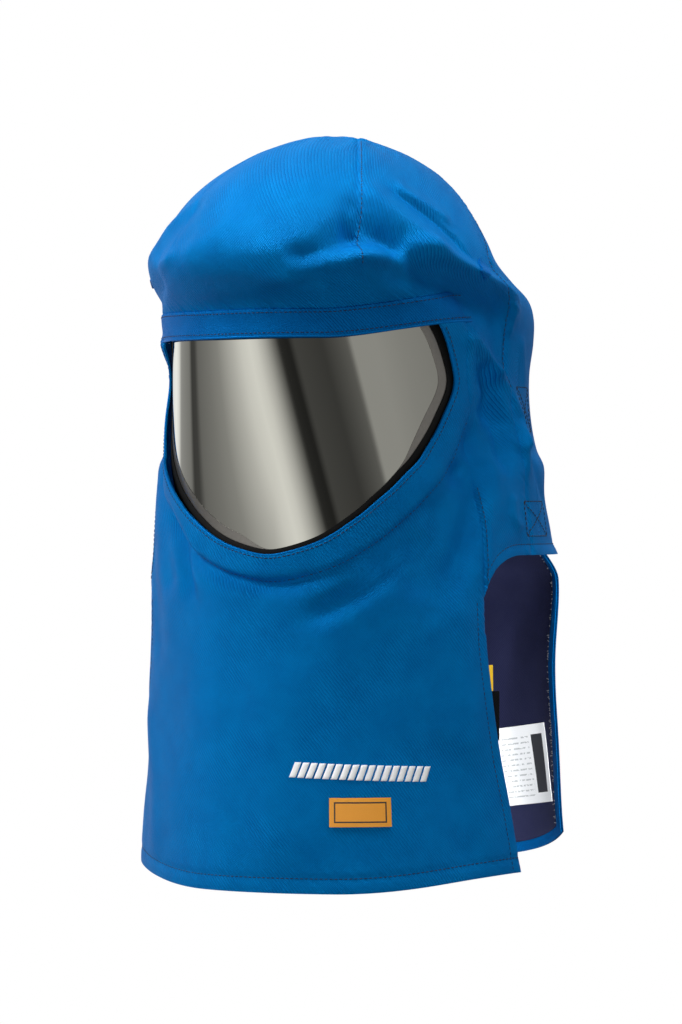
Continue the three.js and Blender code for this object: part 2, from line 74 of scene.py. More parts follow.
FOLD_WIDTH = 12
BAND_HEIGHT = 20
BAND_PROUD = 1.2
BAND_DROP = 157
BAND_RISE = 13
BAND_RISE_RIGHT = 2
BAND_TURN = 66.5
FACE_TWIST = -4
DART_START = 20
DART_SPREAD = 22.5
OPENING_WIDTH = 263
OPENING_DEPTH = 122.5
OPENING_DROP = 193
VISOR_WALL = 2
VISOR_CENTRE = 5
VISOR_CLEARANCE = 0.8
VISOR_UNDERLAP = 9
SEAL_WALL = 1
SEAL_SHOW = 5
SEAL_UNDERLAP = 8
BIB_TURN = 70
BACK_TURN = 83
CROWN_LEAN = 25
SLIT_DROP = 316
SLIT_TURN = 61
SLIT_SPREAD = 12
HEM_RISE = 10
SLIT_CORNER = 34
CAPE_TURN = 130
CAPE_OVERLAP = 34
CAPE_CORNER_RISE = 26
CAPE_FLARE = 12
CAPE_FLARE_SPREAD = 32
BINDING_WIDTH = 8
CROWN_TOP = 3
BAND_LEVEL = CROWN_TOP - BAND_DROP
SLIT_LEVEL = CROWN_TOP - SLIT_DROP
HEM_LEVEL = CROWN_TOP - HEIGHT
FACE_TOP = CROWN_TOP - 140

# Sizes that this script adds
SEAL_SOFT = 1.5  # how far the seal's inner edge is drawn back
RIM_WIDE = 6.5  # dull rim of the visor
RIM_GONE = 18  # bearing at which the rim runs out
RIM_CLEAR = 18  # degrees on either side of it with no rim
RIM_FADE = 12  # and those over which it widens again
HALF_GAP = 0.03  # half the gap between two panels
DRIFT = 0.12  # height of each wave of the cloth's unevenness
NOWHERE = 99  # a distance that no seam or hem reaches
SEAM_FADE = -250  # level below which the bib's seam is drawn at full depth
FACING = 20.5  # stitched facing round the opening
FACING_STITCH = 20  # and its outer row of stitches
HEM_FOLD = 11  # the bib's turned hem
SIDE_FOLD = 8  # the turned hems of the slits and of the shell

DEGREE = math.pi / 180
UNROLL = FACE_RADIUS * DEGREE
MM = 0.001

# Cross-sections from crown to hem: shares of the sizes above
COLUMNS = ["drop", "width", "front", "back", "centre", "square"]
SECTIONS = [
    [0, 0, 0, 0, 0, 0],
    [0.003, 0.135, 0.12, 0.1, 0, 0],
    [0.012, 0.265, 0.25, 0.2, 0, 0],
    [0.029, 0.42, 0.435, 0.335, 0, -0.02],
    [0.054, 0.575, 0.62, 0.455, -0.02, -0.04],
    [0.082, 0.695, 0.775, 0.545, -0.04, -0.06],
    [0.112, 0.79, 0.88, 0.62, -0.05, -0.08],
    [0.145, 0.875, 0.96, 0.685, -0.055, -0.1],
    [0.173, 0.93, 1, 0.72, -0.05, -0.11],
    [0.196, 0.965, 0.98, 0.78, 0.025, -0.06],
    [0.218, 0.99, 0.91, 0.865, 0.1, 0],
    [0.243, 0.995, 0.82, 0.905, 0.15, 0.01],
    [0.277, 0.985, 0.775, 0.915, 0.165, 0.01],
    [0.321, 0.97, 0.765, 0.89, 0.18, 0],
    [0.375, 0.985, 0.76, 0.865, 0.19, 0],
    [0.42, 1.01, 0.755, 0.89, 0.2, 0],
    [0.446, 1.045, 0.755, 0.925, 0.21, 0],
    [0.486, 1.06, 0.755, 0.88, 0.21, -0.02],
    [0.536, 1.08, 0.75, 0.975, 0.215, 0],
    [0.607, 1.11, 0.745, 1.05, 0.215, 0],
    [0.714, 1.11, 0.755, 0.995, 0.215, 0],
    [0.821, 1.12, 0.775, 1, 0.215, 0],
    [0.92, 1.145, 0.79, 1.03, 0.215, 0],
    [1, 1.17, 0.8, 1.06, 0.215, 0],
]
SECTION = {name: np.array([row[k] for row in SECTIONS]) for k, name in enumerate(COLUMNS)}
LAST = len(SECTIONS) - 1

# Folds: turn1, drop1, turn2, drop2, width, height, share on the other side
FOLDS = [
    [44, 0.096, 62, 0.159, 0.75, 0.65, 0.4],
    [62, 0.159, 86, 0.239, 0.75, 0.5, 0.4],
    [36, 0.118, 49, 0.163, 0.95, -0.8, 0.6],
    [36, 0.175, 46, 0.188, 0.7, 0.4, 0.6],
    [46, 0.204, 77, 0.241, 0.9, -0.6, 0.9],
    [66, 0.28, 76, 0.322, 0.55, 0.55, 0.9],
    [76, 0.322, 86, 0.415, 0.55, 0.65, 0.9],
    [71, 0.377, 57, 0.457, 0.75, -0.85, 0.7],
    [57, 0.457, 41, 0.595, 0.85, -0.75, 0.7],
    [46, 0.509, 30, 0.571, 0.9, -0.45, 0.5],
    [77, 0.268, 78, 0.38, 1.2, -0.7, 1],
    [-20, 0.62, -14, 0.96, 2.2, 0.35, 0],
    [30, 0.64, 52, 0.98, 2.4, -0.4, 0.8],
    [150, 0.3, 166, 0.52, 1.6, 0.5, 0.8],
]

# Small creases, left out of the solid model: the width on either side of the line, the height, and the
# corners as turn and level, in millimetres and degrees. The corners follow a crease's shade, and the crease
# itself lies beside that by SHADE_LEAD of its width.
SHADE_LEAD = 0.6
CREASES = [
    [11, 9, -7.6, (31, -70), (39, -73), (46, -80), (52, -90)],
    [11, 13, -7.5, (36, -68), (30, -78), (22, -88), (10, -96)],
    [6, 9, 4.2, (1, -112), (11, -108), (20, -102), (28, -98), (36, -94), (44, -91), (51, -85)],
    [4, 1.6, -2.4, (52, -42), (60, -54), (68, -67), (74, -80), (78, -94)],
    [3, 8, 2.6, (55, -40), (66, -54), (76, -67)],
    [6, 9, 5, (52, -80), (62, -90), (75, -102), (86, -112), (92, -120)],
    [10, 10, -4.8, (50, -101), (59, -106), (66, -118), (74, -140)],
    [3.5, 3.5, 2.6, (84, -123), (83, -136), (83, -150)],
    [4, 7, 5, (67, -157), (74, -173), (81, -190), (86, -211), (84, -234), (82, -258)],
    [9, 6, -7.5, (69, -168), (73, -190), (75, -221), (72, -256)],
    [5, 5, 3.6, (68, -205), (67, -225), (65, -244)],
    [12, 7, -9.5, (68, -213), (64, -239), (59, -273), (54, -303), (44, -350)],
    [9, 8, -6, (44, -292), (37, -306), (31, -317), (23, -334), (15, -347), (8, -356)],
    [3, 5, 2, (75, -267), (74, -284), (77, -296)],
    [8, 5, -6.8, (-46, -272), (-39, -294), (-32, -316), (-24, -345)],
    [4, 7, 2.2, (-36, -272), (-29, -294), (-22, -316)],
    [6, 6, -4.2, (-46, -262), (-40, -282), (-32, -302), (-24, -316), (-14, -326), (-4, -331),
     (6, -330), (16, -322)],
    [4, 4, 2, (78, -212), (83, -228), (86, -236)],
    [5, 5, -1.2, (20, -98), (24, -112), (24, -126)],
    [5, 5, -1.6, (88, -240), (92, -262), (99, -280)],
    [6, 4, 2, (90, -150), (92, -165), (95, -190)],
    [12, 12, 1.6, (-8, -60), (-16, -78), (-30, -92)],
    [12, 9, -1.8, (-24, -70), (-40, -84), (-52, -98)],
    [9, 14, -2.4, (-66, -300), (-56, -345), (-50, -400)],
    [12, 18, -2.2, (16, -350), (22, -410), (26, -480)],
    [12, 24, 2.2, (-8, -390), (-4, -460), (-3, -550)],
    [8, 12, 2.4, (50, -340), (52, -400), (55, -470)],
    [12, 10, 2.2, (-62, -420), (-52, -480), (-48, -545)],
    [10, 9, -2.2, (44, -440), (50, -500), (52, -545)],
    [6, 5, -1.4, (-40, -40), (-56, -62), (-66, -92)],
    [6, 8, -0.9, (-30, -92), (-44, -110), (-58, -124)],
    [7, 5, -1.4, (-88, -112), (-92, -150), (-86, -190)],
    [6, 6, 1.1, (-70, -240), (-78, -270), (-84, -300)],
    [10, 7, -2, (120, -150), (132, -200), (130, -260)],
    [9, 12, 1.8, (150, -120), (160, -180), (158, -250)],
    [10, 7, -2, (-125, -140), (-136, -200), (-132, -280)],
    [12, 9, 1.8, (-160, -130), (-166, -190), (-170, -260)],
    [9, 9, -1.6, (176, -160), (182, -230), (178, -300)],
    [12, 9, 1.8, (146, -360), (150, -430), (148, -530)],
    [12, 9, 1.8, (-148, -360), (-154, -430), (-150, -530)],
    [10, 14, -1.8, (172, -350), (176, -440), (170, -540)],
]

# Reach of the visor opening, as a share of its size, by bearing from straight down
OPENING = [
    [0, 1.000], [16, 0.944], [27, 0.890], [40, 0.851], [55, 0.843], [69, 0.884],
    [81, 0.929], [92, 1.000], [103, 0.982], [115, 0.975], [140, 1.000], [180, 1.000],
]


def smooth(x):
    t = np.clip(x, 0, 1)
    return t * t * (3 - 2 * t)


def bell(x, width):
    return np.exp(-((x / width) ** 2))


def along(name, place):
    """A column of SECTIONS at a place between its rows, on a smooth curve."""
    rows = SECTION[name]
    p = np.clip(place, 0, LAST)
    i = np.minimum(np.floor(p).astype(int), LAST - 1)
    t = p - i
    a, b = rows[i], rows[i + 1]
    before = np.where(i == 0, 2 * a - b, rows[np.clip(i - 1, 0, LAST)])
    after = np.where(i + 2 > LAST, 2 * b - a, rows[np.clip(i + 2, 0, LAST)])
    t1, t2 = (b - before) / 2, (after - a) / 2
    return (
        (2 * t**3 - 3 * t**2 + 1) * a + (t**3 - 2 * t**2 + t) * t1
        + (3 * t**2 - 2 * t**3) * b + (t**3 - t**2) * t2
    )


def level_at(place):
    return CROWN_TOP - along("drop", place) * HEIGHT


PLACES = np.linspace(0, LAST, LAST * 200 + 1)
LEVELS = level_at(PLACES)


def place_at(level):
    return np.interp(-np.asarray(level, float), -LEVELS, PLACES)


def wrap(turn):
    return np.where(turn > 180, turn - 360, turn)


def fold_height(turn, level):
    total = np.zeros_like(turn)
    for turn1, drop1, turn2, drop2, width, height, other in FOLDS:
        for side, share in ((1, 1), (-1, other)):
            x1, z1 = side * turn1 * UNROLL, CROWN_TOP - drop1 * HEIGHT
            dx, dz = side * turn2 * UNROLL - x1, CROWN_TOP - drop2 * HEIGHT - z1
            x, z = turn * UNROLL - x1, level - z1
            run = np.clip((x * dx + z * dz) / (dx * dx + dz * dz), 0, 1)
            away = np.hypot(x - run * dx, z - run * dz)
            total += share * height * FOLD_HEIGHT * bell(away, width * FOLD_WIDTH)
    return total


def cape_flare(turn, level):
    below = smooth((SLIT_LEVEL - level) / CAPE_OVERLAP + 0.4)
    return CAPE_FLARE * below * bell(np.abs(turn) - CAPE_TURN, CAPE_FLARE_SPREAD)


def egg(turn, place):
    a = turn * DEGREE
    c, s = np.cos(a), np.sin(a)
    centre = along("centre", place) * BACK_REACH
    front = along("front", place) * FRONT_REACH + centre
    back = along("back", place) * BACK_REACH - centre
    full = np.where(c > 0, 1, 1 + along("square", place) * np.sin(2 * a) ** 2)
    x = along("width", place) * HALF_WIDTH * full * s
    y = centre - np.where(c > 0, front, back) * full * c
    return np.stack([x, y, level_at(place)], -1)


def outward_of(turn):
    return np.stack([np.sin(turn * DEGREE), -np.cos(turn * DEGREE), 0 * turn], -1)


def skin(turn, place):
    at, level = wrap(turn), level_at(place)
    out = (fold_height(at, level) + cape_flare(at, level)) * smooth(place / 3)
    return egg(turn, place) + outward_of(turn) * out[..., None]


def egg_normal(turn, place):
    step = 0.01
    round_it = egg(turn + step, place) - egg(turn - step, place)
    down = egg(turn, place + step) - egg(turn, np.maximum(place - step, 0))
    n = np.cross(down, round_it)
    return n / np.maximum(np.linalg.norm(n, axis=-1, keepdims=True), 1e-9)


def radius(turn, place):
    return np.linalg.norm(egg(turn + 0.5, place) - egg(turn - 0.5, place), axis=-1) / DEGREE


def around(turn, place, edge):
    return (turn - edge) * DEGREE * radius(turn, place)


def ramp_out(turn, middle, bearing):
    return smooth((np.abs(turn) / bearing - middle) / (1 - middle))


def band_low(turn):
    rise = np.where(turn > 0, BAND_RISE, BAND_RISE_RIGHT)
    return BAND_LEVEL + rise * ramp_out(turn, 0.25, BAND_TURN)


def band_top(turn):
    return band_low(turn) + BAND_HEIGHT


def bib_hem(turn):
    return HEM_LEVEL + HEM_RISE * ramp_out(turn, 0.25, SLIT_TURN + SLIT_SPREAD)


def bib_edge(level):
    slit_top = SLIT_LEVEL - SLIT_CORNER
    seam_top = BAND_LEVEL
    to_slit = smooth((seam_top - level) / (seam_top - slit_top))
    seam = BAND_TURN + (BIB_TURN - BAND_TURN) * 4 * to_slit * (1 - to_slit)
    to_hem = smooth((slit_top - level) / (HEIGHT - SLIT_DROP))
    return seam + (SLIT_TURN - BAND_TURN) * to_slit + SLIT_SPREAD * to_hem


def back_edge(place):
    lean = smooth(1 - (place - 4) / 6) - smooth(1 - place / 4) / 2
    return BACK_TURN + CROWN_LEAN * lean


OPENING_FOOT = CROWN_TOP - OPENING_DROP - OPENING_DEPTH


def face_twist(level):
    return FACE_TWIST * smooth((level - OPENING_FOOT) / OPENING_DEPTH + 0.25)


def shell_hem(turn):
    past = np.clip((np.abs(turn) - SLIT_TURN) * UNROLL / SLIT_CORNER, 0, 1)
    return SLIT_LEVEL - SLIT_CORNER * (1 - np.sqrt(1 - (1 - past) ** 2))


def cape_hem(turn):
    out = np.clip((180 - np.abs(turn)) / (180 - CAPE_TURN), 0, 1)
    return HEM_LEVEL + CAPE_CORNER_RISE * out**3


# The opening's reach, rounded between the rows of its table
BEARINGS = np.arange(-30, 211, 0.5)
_reach = np.interp(np.abs(BEARINGS), *zip(*OPENING))
_window = bell(np.arange(-16, 17), 7)
REACHES = np.convolve(_reach, _window / _window.sum(), "same")


def opening_size(bearing):
    size = OPENING_DEPTH + (OPENING_WIDTH / 2 - OPENING_DEPTH) * np.sin(bearing * DEGREE) ** 2
    return np.interp(bearing, BEARINGS, REACHES) * size


def opening_reach(turn, level):
    """How far a point is outside the visor opening."""
    x = np.abs(turn - face_twist(level)) * UNROLL
    z = level - (CROWN_TOP - OPENING_DROP)
    bearing = np.arctan2(x, -z) / DEGREE
    return np.hypot(x, z) - opening_size(bearing)


def beyond_dart(turn, place, level):
    at = skin(turn, place)
    spread = DART_SPREAD * DEGREE
    return (np.abs(at[..., 0]) - DART_START) * math.cos(spread) + at[..., 1] * math.sin(spread)


def above_band(turn, place, level):
    return level - band_top(turn)


def beyond_band(turn, place, level):
    return around(np.abs(turn - face_twist(level)), place, bib_edge(level))


def beyond_back(turn, place, level):
    return around(np.abs(wrap(turn)), place, back_edge(place))


def crease_height(turn, level):
    """Height of the small creases at a point."""
    total = np.zeros_like(turn)
    for left, right, height, *corners in CREASES:
        start = corners[0][0]
        x = ((turn - start + 180) % 360 - 180) * UNROLL
        best = np.full(turn.shape, 1e9)
        side, fade = np.zeros_like(turn), np.zeros_like(turn)
        count = len(corners) - 1
        (ta, za), (tb, zb) = corners[0], corners[-1]
        down, across = zb - za, (ta - tb) * UNROLL
        lead = SHADE_LEAD * (left + right) / 2 / math.hypot(down, across)
        lead *= 1 if 0.6 * down > across else -1
        for k in range(count):
            (ta, za), (tb, zb) = corners[k], corners[k + 1]
            xa, xb = (ta - start) * UNROLL + lead * down, (tb - start) * UNROLL + lead * down
            za, zb = za + lead * across, zb + lead * across
            dx, dz = xb - xa, zb - za
            run = np.clip(((x - xa) * dx + (level - za) * dz) / (dx * dx + dz * dz), 0, 1)
            ex, ez = x - xa - run * dx, level - za - run * dz
            away = np.hypot(ex, ez)
            near = away < best
            best = np.where(near, away, best)
            side = np.where(near, ex * dz - ez * dx, side)
            fade = np.where(near, (k + run) / count, fade)
        ends = smooth(fade * 4 + 0.25) * smooth((1 - fade) * 4 + 0.25)
        total += height * ends * bell(best, np.where(side > 0, left, right))
    return total


# Waves of the drift: their rates in three directions and their phases
rng = np.random.default_rng(7)
WAVE_RANGES = ((-0.1, 0.1), (-0.1, 0.1), (-0.07, 0.07), (0, 6.28))
WAVES = np.stack([rng.uniform(*reach, 30) for reach in WAVE_RANGES], 1)


def drift(turn, level):
    """Slow unevenness of worn cloth, about half a millimetre."""
    x, y = FACE_RADIUS * np.sin(turn * DEGREE), FACE_RADIUS * np.cos(turn * DEGREE)
    total = np.zeros_like(x)
    for fx, fy, fz, phase in WAVES:
        total += np.sin(fx * x + fy * y + fz * level + phase)
    return DRIFT * total


def groove(d, depth, width):
    return -depth * bell(d, width)


def flank(d, rise, rest):
    """The raised cloth beside a seam, from d = 0 to where the rest is 0, with soft ends."""
    return smooth(d / rise) * smooth(rest / 3)


def relief(turn, place):
    """Height of seams, hems, puckers and creases over the folded skin, in millimetres."""
    at, level = wrap(turn), level_at(place)
    low = level < band_low(at)
    front = np.abs(at) < BACK_TURN
    seam = beyond_band(at, place, level)
    back = beyond_back(turn, place, level)
    dart = beyond_dart(turn, place, level)
    edge = np.where(low & front, opening_reach(at, level), NOWHERE)
    hem = np.where(front, level - bib_hem(at), NOWHERE)
    top = np.where(front, level - band_top(at), NOWHERE)
    slit = np.where(low & front & (level < shell_hem(at) + 30), -seam, NOWHERE)
    shell = (seam > 0) & (level < SEAM_FADE) & (np.abs(at) < CAPE_TURN)
    shell = np.where(shell, level - shell_hem(at), NOWHERE)
    run = at * UNROLL + level
    pucker = np.sin(run * 1.05) + 0.6 * np.sin(run * 0.62 + 1.3)
    out = crease_height(at, level) * smooth((edge - 7) / 12) + drift(at, level)
    # seam from the bib to the sides
    on = low & (level > shell_hem(at) - 30)
    on = on * (0.25 + 0.75 * smooth((SEAM_FADE - level) / 20)) * np.where(at < 0, 0.3, 1)
    out = out + on * (groove(seam, 1.1, 1.8) + 0.55 * flank(seam, 2, 11 - seam))
    out = out + on * 0.22 * pucker * bell(seam, 9)
    # seam from the sides to the back
    out = out + groove(back, 1.0, 1.8) + 0.4 * flank(-back, 2, 10 + back) + 0.25 * pucker * bell(back, 9)
    # crown darts
    on = smooth((level + 108) / 12) * np.where(level > band_top(at), 1, 0) * np.where(at > 0, 1, 0.3)
    out = out + on * (groove(dart, 1.3, 1.8) + 0.25 * pucker * bell(dart, 7))
    out = out + on * 0.5 * flank(dart, 2, 9 - dart)
    # stitched facing round the opening, with a hollow below it
    out = out + groove(edge - FACING, 0.6, 1.8) + 1.1 * flank(FACING - edge, 2.2, edge + 1)
    out = out + 0.16 * pucker * bell(edge - FACING_STITCH, 6)
    out = out - 2.2 * smooth((SEAM_FADE - level) / 30) * smooth((edge - 18) / 4) * bell(edge - 24, 7)
    # hems of the bib, of the slit and of the shell
    out = out + groove(hem - HEM_FOLD, 0.6, 2.4) + 0.16 * pucker * bell(hem - HEM_FOLD, 6)
    out = out + np.where(level < SLIT_LEVEL - SLIT_CORNER, groove(slit - SIDE_FOLD, 0.5, 2.2), 0)
    out = out + groove(shell - SIDE_FOLD, 0.5, 2.2)
    # puckered top of the brow band
    out = out + 0.3 * pucker * bell(top - 1, 6) * np.where(top > -1, 1, 0.2)
    return out * smooth(place / 2)


def cloth(turn, place):
    """Points of the worn cloth and the directions out of it."""
    normal = egg_normal(turn, place)
    return skin(turn, place) + normal * relief(turn, place)[..., None], normal


# The visor is a sheet bent to an oval
stack = CLOTH + LAYER_GAP + SEAL_WALL + LAYER_GAP + VISOR_CLEARANCE
STEPS = 12
opening_levels = BAND_LEVEL + (OPENING_FOOT - BAND_LEVEL) * np.arange(STEPS) / STEPS
visor_deep = min(-skin(np.zeros(STEPS), place_at(opening_levels))[:, 1]) - stack + VISOR_CENTRE


def opening_turn(level):
    low, high = 0.0, 90.0
    for _ in range(30):
        middle = (low + high) / 2
        if opening_reach(np.array([middle]), np.array([level]))[0] < 0:
            low = middle
        else:
            high = middle
    return low


def visor_half(level):
    reach = opening_turn(level) + SEAL_UNDERLAP / UNROLL
    edge = skin(np.array([reach]), place_at([level]))[0]
    side = edge[0] - stack * math.sin(reach * DEGREE)
    ahead = VISOR_CENTRE - edge[1] - stack * math.cos(reach * DEGREE)
    return side / math.sqrt(1 - (ahead / visor_deep) ** 2)


visor_wide = min(visor_half(level) for level in opening_levels[: math.ceil(STEPS * 0.7)])


def shield(turn, place):
    toward = egg(turn, place)
    a = np.arctan2(toward[..., 0] / visor_wide, (VISOR_CENTRE - toward[..., 1]) / visor_deep)
    n = np.stack([np.sin(a) / visor_wide, -np.cos(a) / visor_deep, 0 * a], -1)
    n = n / np.linalg.norm(n, axis=-1, keepdims=True)
    point = np.stack([visor_wide * np.sin(a), VISOR_CENTRE - visor_deep * np.cos(a), level_at(place)], -1)
    return point, n


# Materials
def linear(hex_colour):
    parts = [(hex_colour >> shift & 255) / 255 for shift in (16, 8, 0)]
    return [x / 12.92 if x < 0.04045 else ((x + 0.055) / 1.055) ** 2.4 for x in parts] + [1.0]


def by_node(operation):
    return lambda a, b=0.0: a.nodes.math(operation, a, b)


class Signal:
    """A node's output. Arithmetic with it adds Math nodes."""

    def __init__(self, nodes, socket):
        self.nodes, self.socket = nodes, socket

    __add__, __sub__, __mul__ = by_node("ADD"), by_node("SUBTRACT"), by_node("MULTIPLY")
    __lt__, __gt__, __abs__ = by_node("LESS_THAN"), by_node("GREATER_THAN"), by_node("ABSOLUTE")
    sine, fraction = by_node("SINE"), by_node("FRACT")


class Nodes:
    """A material and a short way to build its nodes."""

    def __init__(self, name):
        self.material = bpy.data.materials.new(name)
        self.material.use_nodes = True
        self.tree = self.material.node_tree
        self.shader = self.tree.nodes["Principled BSDF"]

    def put(self, socket, value):
        if isinstance(value, Signal):
            self.tree.links.new(value.socket, socket)
        else:
            socket.default_value = value

    def add(self, kind, links=(), output=0, **facts):
        node = self.tree.nodes.new("ShaderNode" + kind)
        for key, value in facts.items():
            setattr(node, key, value)
        for key, value in dict(links).items():
            self.put(node.inputs[key], value)
        return Signal(self, node.outputs[output])

    def math(self, operation, a, b=0.0):
        return self.add("Math", {0: a, 1: b}, operation=operation)

    def mix(self, factor, *colours):
        a, b = (c if isinstance(c, Signal) else linear(c) for c in colours)
        return self.add("Mix", {0: factor, 6: a, 7: b}, 2, data_type="RGBA")

    def noise(self, vector, scale, detail=2.0):
        return self.add("TexNoise", {"Vector": vector, "Scale": scale, "Detail": detail})

    def bump(self, strength, distance, height):
        return self.add("Bump", {"Strength": strength, "Distance": distance, "Height": height})

    def metres(self):
        return self.add("TexCoord", output="Object")

    def split(self, vector):
        outputs = self.add("SeparateXYZ", {0: vector}).socket.node.outputs
        return [Signal(self, output) for output in outputs]

    def cloth_map(self):
        """The map in millimetres along the cloth, whole and as its two numbers."""
        uv = self.add("UVMap", uv_map="cloth")
        return uv, *self.split(uv)[:2]

    def finish(self, **sockets):
        for key, value in sockets.items():
            self.put(self.shader.inputs[key.replace("_", " ")], value)
        return self.material


def woven(
    name, light, dark, glow=0x008CF8, rough=0.5, gloss=0.1, metal=0.28, pitch=1.3, depth=0.0003
):
    """Twill in a map of millimetres: diagonal ridges broken up by the threads."""
    n = Nodes(name)
    uv, u, v = n.cloth_map()
    diagonal = u + v * 0.8 + n.noise(uv, 0.25) * 1.4
    fine = (diagonal * (2 * math.pi / pitch)).sine()
    broad = (diagonal * (math.pi / pitch)).sine()
    patchy = n.add("Clamp", {0: (n.noise(uv, 0.018, 1.0) - 0.38) * 5.0})
    ridge = fine + broad * (patchy * 1.3)
    thread = ((u - v) * (6.3 / 0.9)).sine()
    fuzz, slub = n.noise(uv, 0.9, 3.0), n.noise(uv, 0.045, 3.0)
    height = ridge * 0.5 + thread * 0.22 + fuzz * 0.9
    tone = n.add("Clamp", {0: ridge * 0.2 + (fuzz - 0.5) * 0.5 + 0.5 + (slub - 0.5) * 0.7})
    return n.finish(
        Base_Color=n.mix(tone, dark, light), Roughness=fuzz * 0.1 + (rough - 0.05),
        Normal=n.bump(0.7, depth, height), Metallic=metal, Specular_IOR_Level=gloss,
        Specular_Tint=linear(glow), Sheen_Weight=0.08, Sheen_Roughness=0.5, Sheen_Tint=linear(glow),
    )


def plain(name, light, dark, rough, scale=900.0, strength=0.3, **more):
    """A fine-grained finish in the object's own metres."""
    n = Nodes(name)
    grain = n.noise(n.metres(), scale, 4.0)
    return n.finish(
        Base_Color=n.mix(grain, dark, light), Roughness=grain * 0.12 + (rough - 0.06),
        Normal=n.bump(strength, 0.0002, grain), **more,
    )


blue = woven("blue_twill", 0x0290DE, 0x0167B4)
band_blue = woven("blue_twill_doubled", 0x0284DA, 0x0160AE)
navy = woven(
    "navy_lining", 0x42466E, 0x2A2E54, glow=0x9098B8, gloss=0.2, metal=0.0, pitch=0.9, depth=0.00012
)
webbing = woven(
    "black_webbing", 0x1B1C20, 0x0B0B0D, glow=0x606468, rough=0.75, gloss=0.15, metal=0.0, pitch=1.8
)
thread_dark = plain("dark_thread", 0x0A2C58, 0x061C3C, 0.6)
thread_black = plain("black_thread", 0x0A1426, 0x040812, 0.6)
thread_white = plain("white_thread", 0xFFFFFF, 0xF0F2F4, 0.5, scale=1600.0)
thread_grey = plain("grey_thread", 0xDADDE2, 0x9DA3AD, 0.6)
rubber = plain("seal_rubber", 0x08090A, 0x030303, 0.75, scale=500.0, Specular_IOR_Level=0.2)
yellow = plain("yellow_tab_weave", 0xE9C21A, 0xC79B0C, 0.65, scale=1200.0)


def label_material():
    """White satin with rows of grey dashes and one dark bar, in place of print."""
    n = Nodes("label_satin")
    uv, u, v = n.cloth_map()
    line = (v * (1 / 4.2)).fraction() < 0.3
    worn = n.noise(uv, 0.35, 1.0) > 0.47
    inside, tall = abs(u - 9.5) < 16.0, abs(v) < 25.0
    paper = n.mix(n.noise(uv, 1.6, 3.0), 0xD6D9DD, 0xF2F4F5)
    colour = n.mix((line * worn) * (inside * tall) * 0.55, paper, 0x6D7278)
    bar = (abs(u + 17.0) < 7.0) * (abs(v) < 23.0)
    bump = n.bump(0.2, 0.0001, n.noise(uv, 2.5))
    return n.finish(Base_Color=n.mix(bar, colour, 0x23252B), Roughness=0.5, Normal=bump)


def patch_material():
    """Orange weave with one dark frame line."""
    n = Nodes("orange_woven_patch")
    uv, u, v = n.cloth_map()
    rows, weave = (u * (6.3 / 0.8)).sine(), n.noise(uv, 2.4, 2.0)
    u, v = abs(u), abs(v)
    frame_u = (abs(u - 18.6) < 0.55) * (v < 7.5)
    frame_v = (abs(v - 7.0) < 0.55) * (u < 19.1)
    orange = n.mix(weave, 0xE78C12, 0xFAB02E)
    colour = n.mix(n.math("MAXIMUM", frame_u, frame_v), orange, 0x2B2118)
    return n.finish(Base_Color=colour, Roughness=0.6, Normal=n.bump(0.5, 0.0002, rows * 0.5 + weave))


def smoke_material():
    """The visor's mirror-bright smoke tint."""
    n = Nodes("smoke_mirror")
    haze = n.noise(n.metres(), 9.0, 3.0)
    return n.finish(
        Base_Color=n.mix(haze, 0xB0AFA6, 0xB8B7AF), Metallic=1.0, Roughness=haze * 0.02 + 0.012,
        Coat_Weight=0.3, Coat_Roughness=0.01,
    )


def visor_rim_material():
    """The visor's edge, duller than its face."""
    n = Nodes("ground_visor_rim")
    grain = n.noise(n.metres(), 300.0, 3.0)
    return n.finish(
        Base_Color=n.mix(grain, 0x86837F, 0x98948F), Metallic=0.85, Roughness=0.3,
        Normal=n.bump(0.15, 0.0001, grain),
    )


label_white, patch_orange = label_material(), patch_material()
smoke, smoke_rim = smoke_material(), visor_rim_material()

# Cloth builder
STEP = 2.2
_line = egg(np.full(PLACES.shape, 40.0), PLACES)
ARC = np.concatenate([[0], np.cumsum(np.linalg.norm(np.diff(_line, axis=0), axis=1))])


def add_object(name, data):
    obj = bpy.data.objects.new(name, data)
    bpy.context.scene.collection.objects.link(obj)
    return obj


def make(name, points, faces, material, slot="outer_cloth", uv=None, stands_for=()):
    """A mesh from points in millimetres, riding on the one body."""
    mesh = bpy.data.meshes.new(name)
    mesh.vertices.add(len(points))
    mesh.vertices.foreach_set("co", (np.asarray(points, float) * MM).ravel())
    faces = np.asarray(faces, np.int32)
    sides = faces.shape[1]
    mesh.loops.add(faces.size)
    mesh.loops.foreach_set("vertex_index", faces.ravel())
    mesh.polygons.add(len(faces))
    mesh.polygons.foreach_set("loop_start", np.arange(0, faces.size, sides, dtype=np.int32))
    mesh.polygons.foreach_set("loop_total", np.full(len(faces), sides, np.int32))
    mesh.update(calc_edges=True)
    mesh.polygons.foreach_set("use_smooth", np.full(len(faces), True))
    if uv is not None:
        layer = mesh.uv_layers.new(name="cloth")
        layer.data.foreach_set("uv", np.asarray(uv, float)[faces.ravel()].astype(np.float32).ravel())
    mesh.materials.append(material)
    obj = add_object(name, mesh)
    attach(obj, "root")
    if stands_for:
        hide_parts(*stands_for)
    return obj


def clip(polygon, k):
    """The part of a polygon on the inner side of its edge number k."""
    kept = []
    for i, p in enumerate(polygon):
        q = polygon[(i + 1) % len(polygon)]
        a, b = p[2 + k], q[2 + k]
        if a > 0:
            kept.append(p)
        if (a > 0) != (b > 0):
            t = a / (a - b)
            kept.append([x + (y - x) * t for x, y in zip(p, q)])
    return kept


